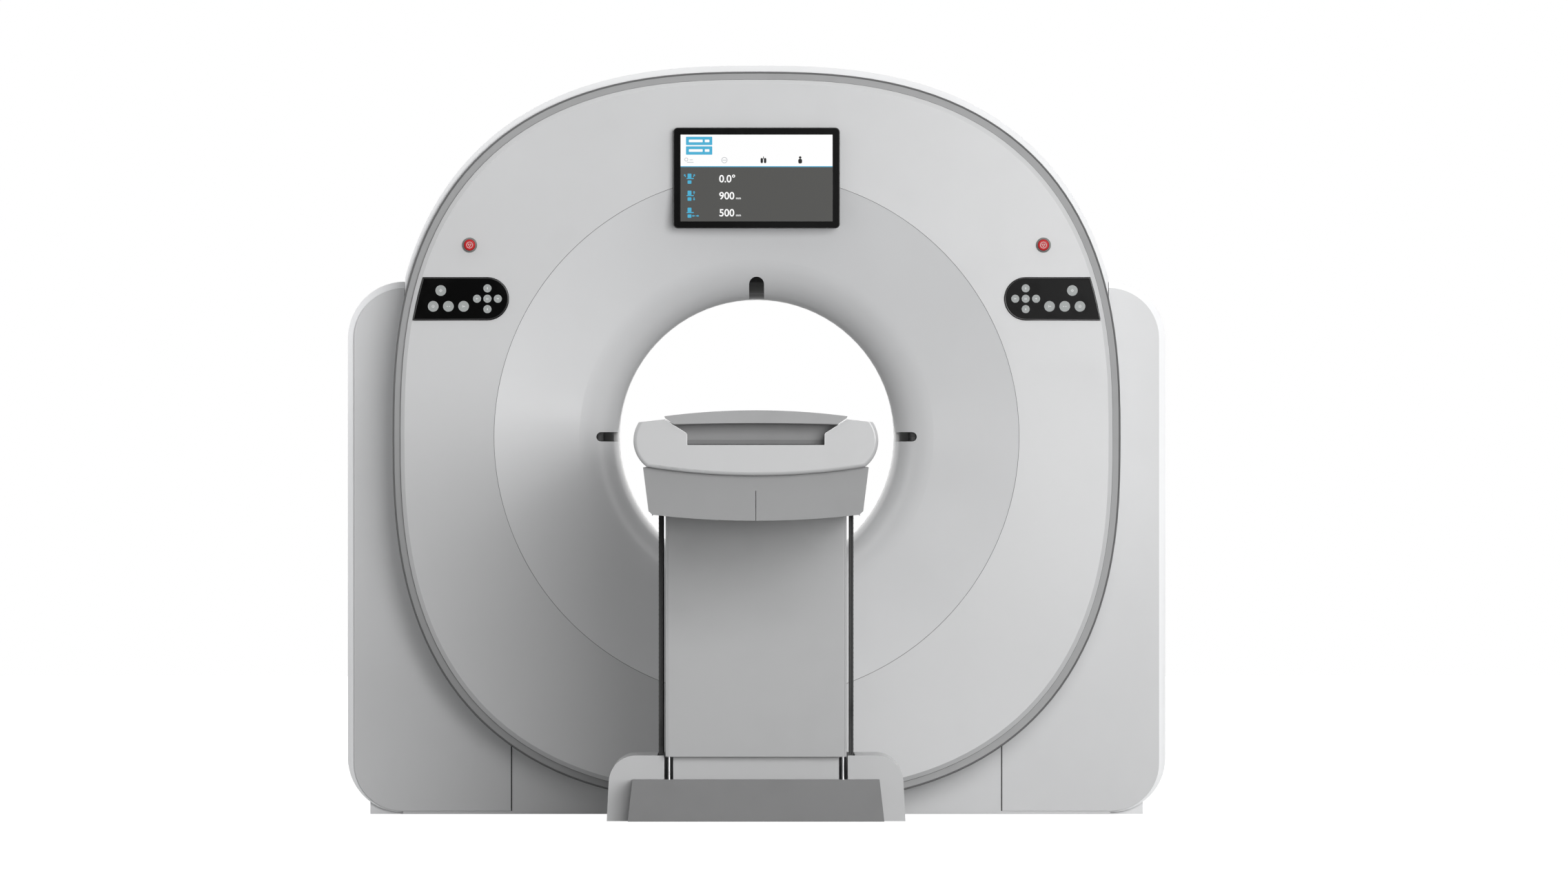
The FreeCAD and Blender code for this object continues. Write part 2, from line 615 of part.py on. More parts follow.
def key_panel():
    """Left key panel: proud face, body through the cover, and a lip behind the cover."""
    front = -FACE_Y - PANEL_PROUD
    back_face = -FACE_Y + SKIN + 2
    face_box = box(-FAR, 0, front, front + PANEL_T, 0, FAR)
    body = panel_outline(-0.3).common(face_box)
    body = body.common(cover_prism(BAND_W + EDGE_BEVEL + 1, front - 1, front + PANEL_T + 1))
    lip = panel_outline(5.0).common(box(-FAR, 0, back_face, back_face + 3, 0, FAR))
    lip = lip.common(cover_prism(BAND_W + SKIN + EDGE_BEVEL + 1, back_face - 1, back_face + 5))
    panel = body.fuse(lip)
    for x, z, r in key_places():
        panel = panel.cut(rod_y(r + KEY_GAP, front - 1, back_face + 5, x, z))
    return panel


def display_block(y0, y1, inset):
    x = DISPLAY_HALF_W - inset
    low, high = ISO_Z + DISPLAY_UP[0] + inset, ISO_Z + DISPLAY_UP[1] - inset
    block = box(-x, x, y0, y1, low, high)
    edges = []
    for edge in block.Edges:
        a, b = edge.Vertexes[0].Point, edge.Vertexes[1].Point
        if abs(a.x - b.x) < 0.01 and abs(a.z - b.z) < 0.01:
            edges.append(edge)
    return block.makeFillet(max(DISPLAY_CORNER_R - inset, 2.0), edges)


def gantry_envelope():
    """Solid space behind the visible face of cover and funnel."""
    block = box(-600, 600, -FACE_Y, -FACE_Y + 120, ISO_Z + 400, ISO_Z + 850)
    return block.cut(funnel_clearance())


def laser_slots(clear):
    """One slot above the tunnel and one at each side, as long cutters along Y."""
    reach = BORE_R + LASER_REACH
    y0, y1 = -FACE_Y, -LASER_INNER_Y
    half = LASER_TOP_W / 2 - clear
    low = ISO_Z + BORE_R - 5
    slots = [box(-half, half, y0, y1, low, ISO_Z + reach - half).fuse(
        rod_y(half, y0, y1, 0, ISO_Z + reach - half))]
    half = LASER_SIDE_W / 2 - clear
    for side in SIDES:
        slots.append(side_box(side, BORE_R - 5, reach - half, y0, y1, ISO_Z - half, ISO_Z + half)
                     .fuse(rod_y(half, y0, y1, side * (reach - half), ISO_Z)))
    return slots


def tilting_covers(nodes):
    cover = cover_shell()
    funnel = funnel_solid()
    hole = rod_y(SEAM_R, -FACE_Y - 1, -FACE_Y + 60)
    seam = 0.6
    back = -FACE_Y + SKIN + 2
    front_cover = cover.cut(hole)
    for side in SIDES:
        pocket = panel_outline(0.0)
        pocket = pocket.common(cover_prism(BAND_W + EDGE_BEVEL + 1 - 0.3, -FACE_Y - 21, -FACE_Y + 61))
        front_cover = front_cover.cut(pocket if side < 0 else mirror_x(pocket))
        front_cover = front_cover.cut(rod_y(ESTOP_STEM_R + 0.5, -FACE_Y - 1, -RIM_Y,
                                            side * ESTOP_X, ISO_Z + ESTOP_UP))
    nodes["front_cover"] = [front_cover]

    collar = ring_y(SEAM_R - 24, SEAM_R + 24, back, back + 3)
    front_funnel = funnel.cut(ring_y(SEAM_R - seam, SEAM_R + 5, -FACE_Y - 1, back))
    bridge = ring_y(SEAM_R - 12, SEAM_R - seam, -FACE_Y + SKIN - 3, back + 3)
    bridge = bridge.cut(funnel_clearance())
    front_funnel = front_funnel.fuse(collar.cut(funnel_clearance())).fuse(bridge)
    nodes["rear_cover"] = [mirror_y(cover.cut(hole)), mirror_y(front_funnel)]
    windows = []
    for cutter, insert in zip(laser_slots(0.0), laser_slots(0.2)):
        windows.append(front_funnel.common(insert))
        front_funnel = front_funnel.cut(cutter)
    nodes["front_funnel"] = [front_funnel]
    nodes["laser_windows"] = windows
    half_window = SCAN_WINDOW_W / 2
    nodes["scan_window"] = [ring_y(BORE_R, BORE_R + SKIN, -half_window, half_window)]
    nodes["trim_bands"] = [trim_band(), mirror_y(trim_band())]
    nodes["outer_shell"] = barrel_shell()
    nodes["tilt_frame"] = [tilt_frame()]


def display(nodes):
    front = -FACE_Y - DISPLAY_FRONT
    housing = display_block(front, -FACE_Y + 60, 0.0).cut(gantry_envelope())
    housing = housing.cut(display_block(front - 1, front + SCREEN_T, DISPLAY_BORDER))
    nodes["display_housing"] = [housing]
    clear = 0.2
    nodes["display_screen"] = [display_block(front + 1, front + SCREEN_T, DISPLAY_BORDER + clear)]


def controls(nodes):
    panel = key_panel()
    collars = []
    for side in SIDES:
        centre = (side * ESTOP_X, ISO_Z + ESTOP_UP)
        low, high = ESTOP_COLLAR_R
        collars.append(rod_y(high, -FACE_Y - ESTOP_COLLAR_H, -FACE_Y, *centre)
                       .cut(rod_y(low, -FACE_Y - ESTOP_COLLAR_H, -FACE_Y, *centre)))
        head = rod_y(ESTOP_R, -FACE_Y - ESTOP_LIFT - ESTOP_HEAD, -FACE_Y - ESTOP_LIFT, *centre)
        edge = [e for e in head.Edges if e.Length > 1 and abs(e.BoundBox.YMax - e.BoundBox.YMin) < 0.01]
        front_edge = min(edge, key=lambda e: e.BoundBox.YMin)
        head = head.makeFillet(3.0, [front_edge])
        stem = rod_y(ESTOP_STEM_R, -FACE_Y - ESTOP_LIFT, -FACE_Y + 25, *centre)
        nodes["estop_left" if side < 0 else "estop_right"] = [head.fuse(stem)]
    nodes["control_bezels"] = [panel, mirror_x(panel)] + collars
    front = -FACE_Y - PANEL_PROUD - KEY_PROUD
    for number, (x, z, r) in enumerate(key_places(), start=1):
        for side, word in zip(SIDES, ("left", "right")):
            key = rod_y(r, front, front + KEY_LENGTH, -side * x if side > 0 else x, z)
            key = key.makeChamfer(0.8, [min(key.Edges, key=lambda e: e.BoundBox.YMax)])
            nodes["key_%s_%d" % (word, number)] = [key]


# ------------------------------------------------------------------ rotor
def rotor(nodes):
    drum = ring_y(DRUM_R[0], DRUM_R[1], DRUM_Y[0], DRUM_Y[1])
    drum = drum.fuse(ring_y(DRUM_R[1] - DRUM_RIM_T, DRUM_R[1], DRUM_RIM_FRONT, DRUM_Y[0]))
    race_y = (DRUM_Y[1], RING_PLATE_Y[0] - 10)
    race = ring_y(RACE_SPLIT_R - RACE_T, RACE_SPLIT_R - RUN_GAP, *race_y)
    magnets = ring_y(DRIVE_R + 1, DRIVE_R + 19, race_y[0], race_y[1] - 5)
    nodes["rotor_drum"] = [drum.fuse(race).fuse(magnets)]
    fixed_y = (DRUM_Y[1] + 10, RING_PLATE_Y[0])
    nodes["bearing_and_stator"] = [ring_y(RACE_SPLIT_R, RACE_SPLIT_R + RACE_T + 20, *fixed_y),
                                   ring_y(DRIVE_R - 53, DRIVE_R - 1, *fixed_y)]
    nodes["slip_ring"] = [ring_y(SLIP_RING_R[0], SLIP_RING_R[1], DRUM_Y[1], DRUM_Y[1] + 50)]
    nodes["brush_block"] = [box(-BRUSH_HALF_W, BRUSH_HALF_W, fixed_y[0] + 2, fixed_y[1],
                                ISO_Z + SLIP_RING_R[1] + 0.5, ISO_Z + RACE_SPLIT_R - RACE_T - 3)]

    tube_z = ISO_Z + FOCUS_UP + TUBE_RISE
    tube = rod_y(TUBE_R, TUBE_FRONT_Y, DRUM_Y[0], 0, tube_z)
    top, bottom = (tube_z - TUBE_R - down for down in COLLIMATOR_Z)
    neck = box(-NECK_HALF_W, NECK_HALF_W, -BEAM_HALF_Y, DRUM_Y[0], top, tube_z)
    collimator = box(-COLLIMATOR_HALF_W, COLLIMATOR_HALF_W, -BEAM_HALF_Y, DRUM_Y[0], bottom, top)
    nodes["xray_tube"] = [tube.fuse(neck), collimator]

    focus = vec(0, 0, ISO_Z + FOCUS_UP)
    start = -90 - DETECTOR_HALF_DEG
    edges = []
    corners = []
    for r in (DETECTOR_R, DETECTOR_R + DETECTOR_T):
        row = []
        for angle in (start, -90.0, -90 + DETECTOR_HALF_DEG):
            row.append(focus + vec(r * cos(radians(angle)), 0, r * sin(radians(angle))))
        edges.append(Part.Arc(*row).toShape())
        corners.append(row)
    edges.append(Part.LineSegment(corners[0][0], corners[1][0]).toShape())
    edges.append(Part.LineSegment(corners[0][2], corners[1][2]).toShape())
    outline = Part.Wire(Part.__sortEdges__(edges))
    nodes["detector_arc"] = [prism_y(outline, -BEAM_HALF_Y, DRUM_Y[0])]
    block_z = (ISO_Z - BLOCK_HALF_H, ISO_Z + BLOCK_HALF_H)
    nodes["hv_generator"] = [side_box(-1, *BLOCK_X, BLOCK_FRONT_Y, DRUM_Y[0], *block_z)]
    weights = [side_box(1, *BLOCK_X, BLOCK_FRONT_Y, DRUM_Y[0], *block_z)]
    low = ISO_Z + FOCUS_UP - DETECTOR_R - DETECTOR_T - LOW_WEIGHT_GAP
    weights.append(box(-LOW_WEIGHT_HALF_W, LOW_WEIGHT_HALF_W, LOW_WEIGHT_FRONT_Y, DRUM_Y[0],
                       low - BALANCE_LOW_H, low))
    nodes["balance_weights"] = weights


# ------------------------------------------------------------------ table top
def table_outline():
    """Section of the table top: rounded sides and a trough for the cradle."""
    return outline_xz([
        (-TROUGH_LOW[0], TROUGH_FLOOR), (TROUGH_LOW[0], TROUGH_FLOOR), TROUGH_LOW, TROUGH_TOP,
        CAP_SHOULDER, ("arc", CAP_HALF_W, CAP_WIDEST_Z), CAP_LOW_CORNER,
        ("arc", 0, CAP_LOW_Z), (-CAP_LOW_CORNER[0], CAP_LOW_CORNER[1]),
        ("arc", -CAP_HALF_W, CAP_WIDEST_Z), (-CAP_SHOULDER[0], CAP_SHOULDER[1]),
        (-TROUGH_TOP[0], TROUGH_TOP[1]), (-TROUGH_LOW[0], TROUGH_LOW[1])])


def table_top(nodes):
    section = table_outline()
    cap = prism_y(section, *CAP_Y)
    front_edges = [e for e in cap.Edges if e.BoundBox.YMax < CAP_Y[0] + 0.01 and e.Length > 40
                   and e.BoundBox.ZMin < TROUGH_LOW[1] - 30 and e.BoundBox.XLength > 20
                   and abs(e.BoundBox.ZMin - TROUGH_FLOOR) > 1]
    nodes["end_cap"] = [cap.makeFillet(9.0, front_edges)]

    inner = Part.Face(section).makeOffset2D(-RAIL_SKIN)
    inner.translate(vec(0, CAP_Y[1] - 1, 0))
    rails = prism_y(section, CAP_Y[1], TABLE_HEAD_Y).cut(
        inner.extrude(vec(0, TABLE_HEAD_Y - CAP_Y[1] + 2, 0)))
    rails = rails.cut(box(-FRAME_RAIL_X[1], FRAME_RAIL_X[1], CAP_Y[1], TABLE_HEAD_Y,
                          0, PLATE_Z[1] + 0.2))
    rails = rails.cut(box(-TROUGH_LOW[0], TROUGH_LOW[0], CAP_Y[1], TABLE_HEAD_Y,
                          PLATE_Z[1], TROUGH_FLOOR + 1))
    head_wall = prism_y(section, TABLE_HEAD_Y - RAIL_SKIN, TABLE_HEAD_Y).cut(
        box(-TROUGH_LOW[0] - 20, TROUGH_LOW[0] + 20, TABLE_HEAD_Y - 10, TABLE_HEAD_Y + 10, 0, FAR))
    nodes["side_rails"] = rails.fuse(head_wall).Solids

    plate_x = CAP_HALF_W - RAIL_SKIN - FRAME_SIDE_GAP
    frame = box(-plate_x, plate_x, CAP_Y[1], TABLE_HEAD_Y - RAIL_SKIN - 0.2, *PLATE_Z)
    for side in SIDES:
        frame = frame.fuse(side_box(side, *FRAME_RAIL_X, CAP_Y[1], TABLE_HEAD_Y - RAIL_SKIN - 0.2,
                                    PLATE_Z[1], PLATE_Z[1] + FRAME_RAIL_H))
    rollers = []
    pitch = (TABLE_HEAD_Y - CAP_Y[1] - 2 * ROLLER_END) / (ROLLER_COUNT - 1)
    for step in range(ROLLER_COUNT):
        y = CAP_Y[1] + ROLLER_END + step * pitch
        for side in SIDES:
            x0 = side * ROLLER_X - ROLLER_LEN / 2
            frame = frame.cut(box(x0 - 2, x0 + ROLLER_LEN + 2, y - ROLLER_R - 1, y + ROLLER_R + 1,
                                  PLATE_Z[0] - 1, PLATE_Z[1] + 1))
            roller = rod_x(ROLLER_R, x0, x0 + ROLLER_LEN, y, CRADLE_LOW_Z - SOFT_GAP - ROLLER_R)
            pin = rod_x(ROLLER_PIN_R, x0 - 2, x0 + ROLLER_LEN + 2, y, CRADLE_LOW_Z - SOFT_GAP - ROLLER_R)
            rollers.append(roller.fuse(pin))
    nodes["support_frame"] = [frame]
    motor_y = CAP_Y[1] + SLIDE_MOTOR_BACK
    box_x = SLIDE_MOTOR_X[1]
    motor = rod_x(SLIDE_MOTOR_R, *SLIDE_MOTOR_X, motor_y, PLATE_Z[0] - SLIDE_MOTOR_R).fuse(
        box(box_x, box_x + SLIDE_BOX_W, motor_y - SLIDE_BOX_W, motor_y + SLIDE_BOX_W,
            PLATE_Z[0] - SLIDE_BOX_H, PLATE_Z[0]))
    nodes["cradle_drive"] = rollers + [motor]


def housing_halves():
    """Two cover halves under the table top, with an opening for the column."""
    low_mid, low_side = HOUSING_LOW_Z
    outline = outline_xz([
        (0, low_mid), ("arc", HOUSING_LOW_W / 2, (low_mid * 3 + low_side) / 4),
        (HOUSING_LOW_W - 10, low_side), (HOUSING_LOW_W, low_side + 9),
        (HOUSING_TOP_W, CAP_LOW_CORNER[1] + 10), (0, CAP_LOW_CORNER[1] + 10)])
    half = prism_y(outline, *HOUSING_Y)
    wall = HOUSING_WALL
    inner = Part.Face(outline).makeOffset2D(-wall)
    inner.translate(vec(0, HOUSING_Y[0] + wall, 0))
    hollow = inner.extrude(vec(0, HOUSING_Y[1] - HOUSING_Y[0] - 2 * wall, 0))
    half = half.cut(hollow)
    y0, y1 = HOUSING_Y[0] + wall, HOUSING_Y[1] - wall
    half = half.cut(box(-1, 2 * wall, y0, y1, low_mid + 2 * wall, FAR))
    half = half.cut(box(-1, COLUMN_ROOM_X, COLUMN_Y[0] - MOVE_GAP, COLUMN_Y[1] + MOVE_GAP + 10,
                        0, FAR))
    under_cap = prism_y(table_outline(), HOUSING_Y[0] - 1, HOUSING_Y[1] + 1)
    lowered = under_cap.copy()
    lowered.translate(vec(0, 0, -0.5))
    half = half.cut(lowered).cut(box(-1, FAR, -FAR, 0, CAP_LOW_CORNER[1] - 1, FAR))
    half = half.cut(box(-1, 0.75, HOUSING_Y[0] - 1, HOUSING_Y[1] + 1, 0, HOUSING_SEAM_Z))
    solid = max(half.Solids, key=lambda s: s.Volume)
    return [mirror_x(solid), solid]


def cradle(nodes):
    x_low = TROUGH_LOW[0] - CRADLE_GAP
    x_top = TROUGH_TOP[0] - 13
    shoulder = TROUGH_LOW[1] + CRADLE_GAP * 0.6
    rise = (TROUGH_TOP[1] - TROUGH_LOW[1]) / (TROUGH_TOP[0] - TROUGH_LOW[0]) * (x_top - x_low)
    outline = outline_xz([
        (-x_low, CRADLE_LOW_Z), (x_low, CRADLE_LOW_Z), (x_low, shoulder),
        (x_top, shoulder + rise), (x_top, CRADLE_EDGE_Z),
        ("arc", 0, CRADLE_DIP_Z), (-x_top, CRADLE_EDGE_Z), (-x_top, shoulder + rise),
        (-x_low, shoulder)])
    foot_y = CAP_Y[1] + 5
    board = prism_y(outline, foot_y, CRADLE_HEAD_Y)
    nodes["cradle"] = [board]
    pad_block = outline_xz([
        (-PAD_HALF_W, CRADLE_DIP_Z - 10), (PAD_HALF_W, CRADLE_DIP_Z - 10), (PAD_HALF_W, PAD_TOP_Z),
        ("arc", 0, PAD_TOP_Z - 2), (-PAD_HALF_W, PAD_TOP_Z)])
    pad = prism_y(pad_block, foot_y + 20, CRADLE_HEAD_Y - 160)
    raised = prism_y(outline, foot_y, CRADLE_HEAD_Y)
    raised.translate(vec(0, 0, SOFT_GAP))
    nodes["mattress"] = [max(pad.cut(raised).Solids, key=lambda s: s.Volume)]
    low_x = TROUGH_LOW[0] + (GRIP_LOW_Z - TROUGH_LOW[1]) / (TROUGH_TOP[1] - TROUGH_LOW[1]) * (
        TROUGH_TOP[0] - TROUGH_LOW[0]) - 5
    grip_outline = outline_xz([
        (-low_x, GRIP_LOW_Z), ("arc", 0, GRIP_LOW_MID), (low_x, GRIP_LOW_Z),
        (TROUGH_TOP[0] - 2, TROUGH_TOP[1] + 3), (TROUGH_TOP[0], GRIP_TOP_END),
        ("arc", 0, GRIP_TOP_MID), (-TROUGH_TOP[0], GRIP_TOP_END),
        (-TROUGH_TOP[0] + 2, TROUGH_TOP[1] + 3)])
    nodes["cradle_grip"] = [prism_y(grip_outline, GRIP_FRONT_Y, foot_y)]


# ------------------------------------------------------------------ table base and lift
def hump_outline(inset):
    low, high = HUMP_HALF_W[0] - inset, HUMP_HALF_W[1] - inset
    top = HUMP_TOP - inset
    r = HUMP_CORNER_R - inset
    bend = 1 - sqrt(0.5)
    return outline_xz([(-low, 0), (low, 0), (high, top - r),
                       ("arc", high - bend * r, top - bend * r), (high - r, top),
                       (-high + r, top), ("arc", -high + bend * r, top - bend * r),
                       (-high, top - r)])


def hump_cover():
    cover = prism_y(hump_outline(0.0), *HUMP_Y)
    cover = cover.cut(prism_y(hump_outline(HUMP_WALL), HUMP_Y[0] + HUMP_WALL,
                              HUMP_Y[1] - HUMP_WALL))
    room_x = SKIRT_X[1] + MOVE_GAP
    cover = cover.cut(box(-room_x, room_x, HUMP_Y[0] + HUMP_WALL, HUMP_Y[1] - HUMP_WALL,
                          HUMP_TOP - HUMP_WALL - 1, HUMP_TOP + 1))
    for side in SIDES:
        cover = cover.cut(side_box(side, ROD_X + 1 - SLOT_W / 2, ROD_X + 1 + SLOT_W / 2,
                                   HUMP_Y[0] - 1, HUMP_Y[0] + HUMP_WALL + 1, 25, HUMP_TOP + 1))
    link_room = LINK_HALF_W + 2
    return cover.cut(box(-link_room, link_room, HUMP_Y[1] - HUMP_WALL - 1, HUMP_Y[1] + 1,
                         -1, BASE_PLATE_T + 2))


def foot_box():
    low, high = FOOT_HALF_W
    outline = outline_xz([(-low, 0), (low, 0), (high, FOOT_TOP), (-high, FOOT_TOP)])
    cover = prism_y(outline, FOOT_FRONT_Y, HUMP_Y[0])
    inner = outline_xz([(-low + FOOT_WALL, -1), (low - FOOT_WALL, -1),
                        (high - FOOT_WALL, FOOT_TOP - FOOT_WALL),
                        (-high + FOOT_WALL, FOOT_TOP - FOOT_WALL)])
    cover = cover.cut(prism_y(inner, FOOT_FRONT_Y + FOOT_WALL, HUMP_Y[0] + 1))
    room_x = PANEL_HALF_W + MOVE_GAP
    return cover.cut(box(-room_x, room_x, COLUMN_Y[0] - MOVE_GAP, HUMP_Y[0] + 1, -1, FOOT_TOP + 1))


def rod_places():
    front_y = COLUMN_Y[0] + FRONT_PANEL_T + 30
    rear_y = COLUMN_Y[1] - REAR_PANEL_T - 18
    return [(side * ROD_X, y) for side in SIDES for y in (front_y, rear_y)]


def upper_rod_places():
    front_y = COLUMN_Y[0] + FRONT_PANEL_T + 100
    rear_y = COLUMN_Y[1] - REAR_PANEL_T - 68
    return [(side * UPPER_ROD_X, y) for side in SIDES for y in (front_y, rear_y)]


def table_base(nodes):
    y0, y1 = HUMP_Y[0] + HUMP_WALL, HUMP_Y[1] - HUMP_WALL
    plate = box(-BASE_HALF_W, BASE_HALF_W, y0, y1, 0, BASE_PLATE_T)
    plate = plate.fuse(box(-LINK_HALF_W, LINK_HALF_W, y1, -STAND_FRONT_Y + LINK_END,
                           0, LINK_T))
    for side in SIDES:
        for y in TABLE_ANCHOR_Y:
            plate = plate.cut(rod_z(ANCHOR_R, -1, BASE_PLATE_T + 1, side * TABLE_ANCHOR_X, y))
    nodes["table_base_frame"] = [plate.removeSplitter()]
    nodes["hump_cover"] = [hump_cover()]
    nodes["foot_box"] = [foot_box()]
    guides = []
    for x, y in rod_places():
        guides.append(rod_z(ROD_R, BASE_PLATE_T, ROD_TOP_Z, x, y))
    middle_y = (COLUMN_Y[0] + COLUMN_Y[1]) / 2
    tube = rod_z(ACTUATOR_R, BASE_PLATE_T, ACTUATOR_TOP_Z, 0, middle_y)
    guides.append(tube.cut(rod_z(ACTUATOR_BORE_R, BASE_PLATE_T + 10, ACTUATOR_TOP_Z + 1,
                                 0, middle_y)))
    nodes["lift_guides"] = guides
    rods = [rod_z(ACTUATOR_BORE_R - BUSH_GAP, ACTUATOR_ROD_LOW_Z, PLATE_Z[0], 0, middle_y)]
    for x, y in upper_rod_places():
        rods.append(rod_z(UPPER_ROD_R, UPPER_ROD_LOW_Z, PLATE_Z[0], x, y))
    nodes["lift_rods"] = rods


def column(nodes):
    front_in = COLUMN_Y[0] + FRONT_PANEL_T
    rear_in = COLUMN_Y[1] - REAR_PANEL_T
    front = box(-PANEL_HALF_W, PANEL_HALF_W, COLUMN_Y[0], front_in, PANEL_LOW_Z, MID_TOP_Z)
    uprights = [e for e in front.Edges if e.BoundBox.YMax < COLUMN_Y[0] + 0.01
                and e.BoundBox.ZLength > 100]
    rear = box(-PANEL_HALF_W, PANEL_HALF_W, rear_in, COLUMN_Y[1], PANEL_LOW_Z, MID_TOP_Z)
    nodes["column_panels"] = [front.makeFillet(7.0, uprights), rear]
    skirts = []
    skirt_y = (HUMP_Y[0] + HUMP_WALL + 3, HUMP_Y[1] - HUMP_WALL - 4)
    for side in SIDES:
        skirt = side_box(side, SKIRT_X[0], SKIRT_X[1], *skirt_y, SKIRT_LOW_Z, MID_TOP_Z)
        skirts.append(skirt.cut(side_box(side, SKIRT_X[0] + 3.6, SKIRT_X[1] - 3.6,
                                         skirt_y[0] - 1, skirt_y[0] + 5, 0, MID_TOP_Z + 1)))
    nodes["column_skirts"] = skirts

    low, high = CARRIAGE_Z
    frame = box(-PANEL_HALF_W, PANEL_HALF_W, front_in, front_in + CARRIAGE_FRONT, low, high)
    frame = frame.fuse(box(-PANEL_HALF_W, PANEL_HALF_W, rear_in - CARRIAGE_REAR, rear_in, low, high))
    ring_low = MID_TOP_Z - TOP_RING_T
    for side in SIDES:
        frame = frame.fuse(side_box(side, *CARRIAGE_BAR_X, front_in + CARRIAGE_FRONT - 30,
                                    rear_in - CARRIAGE_REAR + 18, low + 8, high - 8))
        for y0 in (front_in, rear_in - CARRIAGE_POST_T):
            frame = frame.fuse(side_box(side, *CARRIAGE_POST_X, y0, y0 + CARRIAGE_POST_T,
                                        high, ring_low))
    ring = box(-SKIRT_X[0], SKIRT_X[0], front_in, rear_in, ring_low, MID_TOP_Z)
    ring = ring.cut(box(-TOP_RING_OPEN_X, TOP_RING_OPEN_X, front_in + TOP_RING_OPEN_Y,
                        rear_in - TOP_RING_OPEN_Y, 0, FAR))
    frame = frame.fuse(ring)
    for x, y in rod_places():
        frame = frame.cut(rod_z(ROD_R + BUSH_GAP, low - 1, high + 1, x, y))
    for x, y in upper_rod_places():
        frame = frame.cut(rod_z(UPPER_ROD_R + BUSH_GAP, low - 1, high + 1, x, y))
    nodes["column_frame"] = [frame.removeSplitter()]


# ------------------------------------------------------------------ assembly
def build():
    nodes = {}
    nodes["gantry_stand"] = [gantry_stand()]
    nodes["side_covers"] = [mirror_x(side_cover()), side_cover()]
    plate = wing_plate()
    nodes["wing_plates"] = [mirror_x(plate), plate, mirror_y(mirror_x(plate)), mirror_y(plate)]
    nodes["base_covers"] = [base_cover(), mirror_y(base_cover()), trough_liner()]
    nodes["tilt_drive"] = tilt_drive()
    tilting_covers(nodes)
    display(nodes)
    controls(nodes)
    rotor(nodes)
    table_top(nodes)
    nodes["housing_halves"] = housing_halves()
    cradle(nodes)
    table_base(nodes)
    column(nodes)
    return nodes


def main():
    os.makedirs("parts", exist_ok=True)
    nodes = build()
    for name, shapes in nodes.items():
        solids = []
        for shape in shapes:
            solids.extend(shape.Solids)
        body = solids[0] if len(solids) == 1 else Part.makeCompound(solids)
        body.exportStep("parts/%s.step" % name)
        box_now = body.BoundBox
        print("%-18s %2d solids valid %s %8.2f l  x %7.1f %7.1f  y %7.1f %7.1f  z %7.1f %7.1f" % (
            name, len(solids), body.isValid(), body.Volume / 1e6, box_now.XMin, box_now.XMax,
            box_now.YMin, box_now.YMax, box_now.ZMin, box_now.ZMax))
    print("nodes", len(nodes))


main()
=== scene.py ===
# %% [markdown]
# # A whole-body CT scanner
# The scanner has two halves: a ring gantry that stands in two floor towers, and a patient
# table whose board slides through the ring. The measured parts come from CAD and stay where
# they are. This notebook gives them their paint, metal and rubber, and adds what CAD left
# plain: the pad, the lit display, the marks on the keys, screws, vent mesh and stitches.

# %% Load the measured parts
from math import cos, pi, radians, sin

import bmesh
import bpy
from mathutils import Matrix, Vector
from mathutils.geometry import convex_hull_2d


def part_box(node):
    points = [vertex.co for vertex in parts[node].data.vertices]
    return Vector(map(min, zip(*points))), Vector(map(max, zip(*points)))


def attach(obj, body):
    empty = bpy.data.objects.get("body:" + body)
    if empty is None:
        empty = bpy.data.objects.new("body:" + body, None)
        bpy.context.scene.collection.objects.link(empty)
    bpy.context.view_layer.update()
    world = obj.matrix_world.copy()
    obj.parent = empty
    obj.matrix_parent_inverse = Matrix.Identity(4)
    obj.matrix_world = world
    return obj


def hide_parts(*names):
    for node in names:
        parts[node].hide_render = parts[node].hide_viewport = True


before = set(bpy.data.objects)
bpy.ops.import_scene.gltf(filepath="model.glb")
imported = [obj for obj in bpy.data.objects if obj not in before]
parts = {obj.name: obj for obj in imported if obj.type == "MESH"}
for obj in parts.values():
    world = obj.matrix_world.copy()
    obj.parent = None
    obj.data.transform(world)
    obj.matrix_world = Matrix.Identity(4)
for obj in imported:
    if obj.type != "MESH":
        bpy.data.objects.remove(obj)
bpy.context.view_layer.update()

ring_low, ring_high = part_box("scan_window")
ISO_Z = (ring_low.z + ring_high.z) / 2
FACE_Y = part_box("front_cover")[0].y
print("parts", len(parts), "isocentre height", round(ISO_Z, 3), "cover face", round(FACE_Y, 3))

# %% [markdown]
# ## The camera
# The scanner is seen square-on from the foot end of the table, with almost no perspective.
# An orthographic camera would do it, but a very long lens from far away gives the same look
# and still works when the camera is moved round the object. The distance follows from the
# width that the picture covers at the cover face.

# %% Camera
FRAME_WIDTH = 3.981
LENS, SENSOR = 930.0, 36.0
AIM_X, AIM_Z = 0.0697, 0.9494

camera = bpy.data.objects.new("camera", bpy.data.cameras.new("camera"))
bpy.context.scene.collection.objects.link(camera)
camera.data.lens, camera.data.sensor_width = LENS, SENSOR
camera.data.clip_start, camera.data.clip_end = 1.0, 400.0
camera.location = (AIM_X, FACE_Y - FRAME_WIDTH * LENS / SENSOR, AIM_Z)
camera.rotation_euler = (pi / 2, 0, 0)
bpy.context.scene.camera = camera
print("camera distance", round(FACE_Y - camera.location.y, 2), "m")

# %% [markdown]
# ## Studio light
# One large soft box stands high on the right, so the table throws a broad soft shadow to the
# lower left of the gantry. A weak one near the floor lifts the shade under the table top, and
# a white room fills the rest. The room is white where the camera looks at it and dimmer as a
# light, which a Light Path node in the world does: a white room at full strength would
# flatten every form. Node trees are wired by one short helper from here on.

# %% Lights
bpy.context.scene.view_settings.view_transform = "Standard"


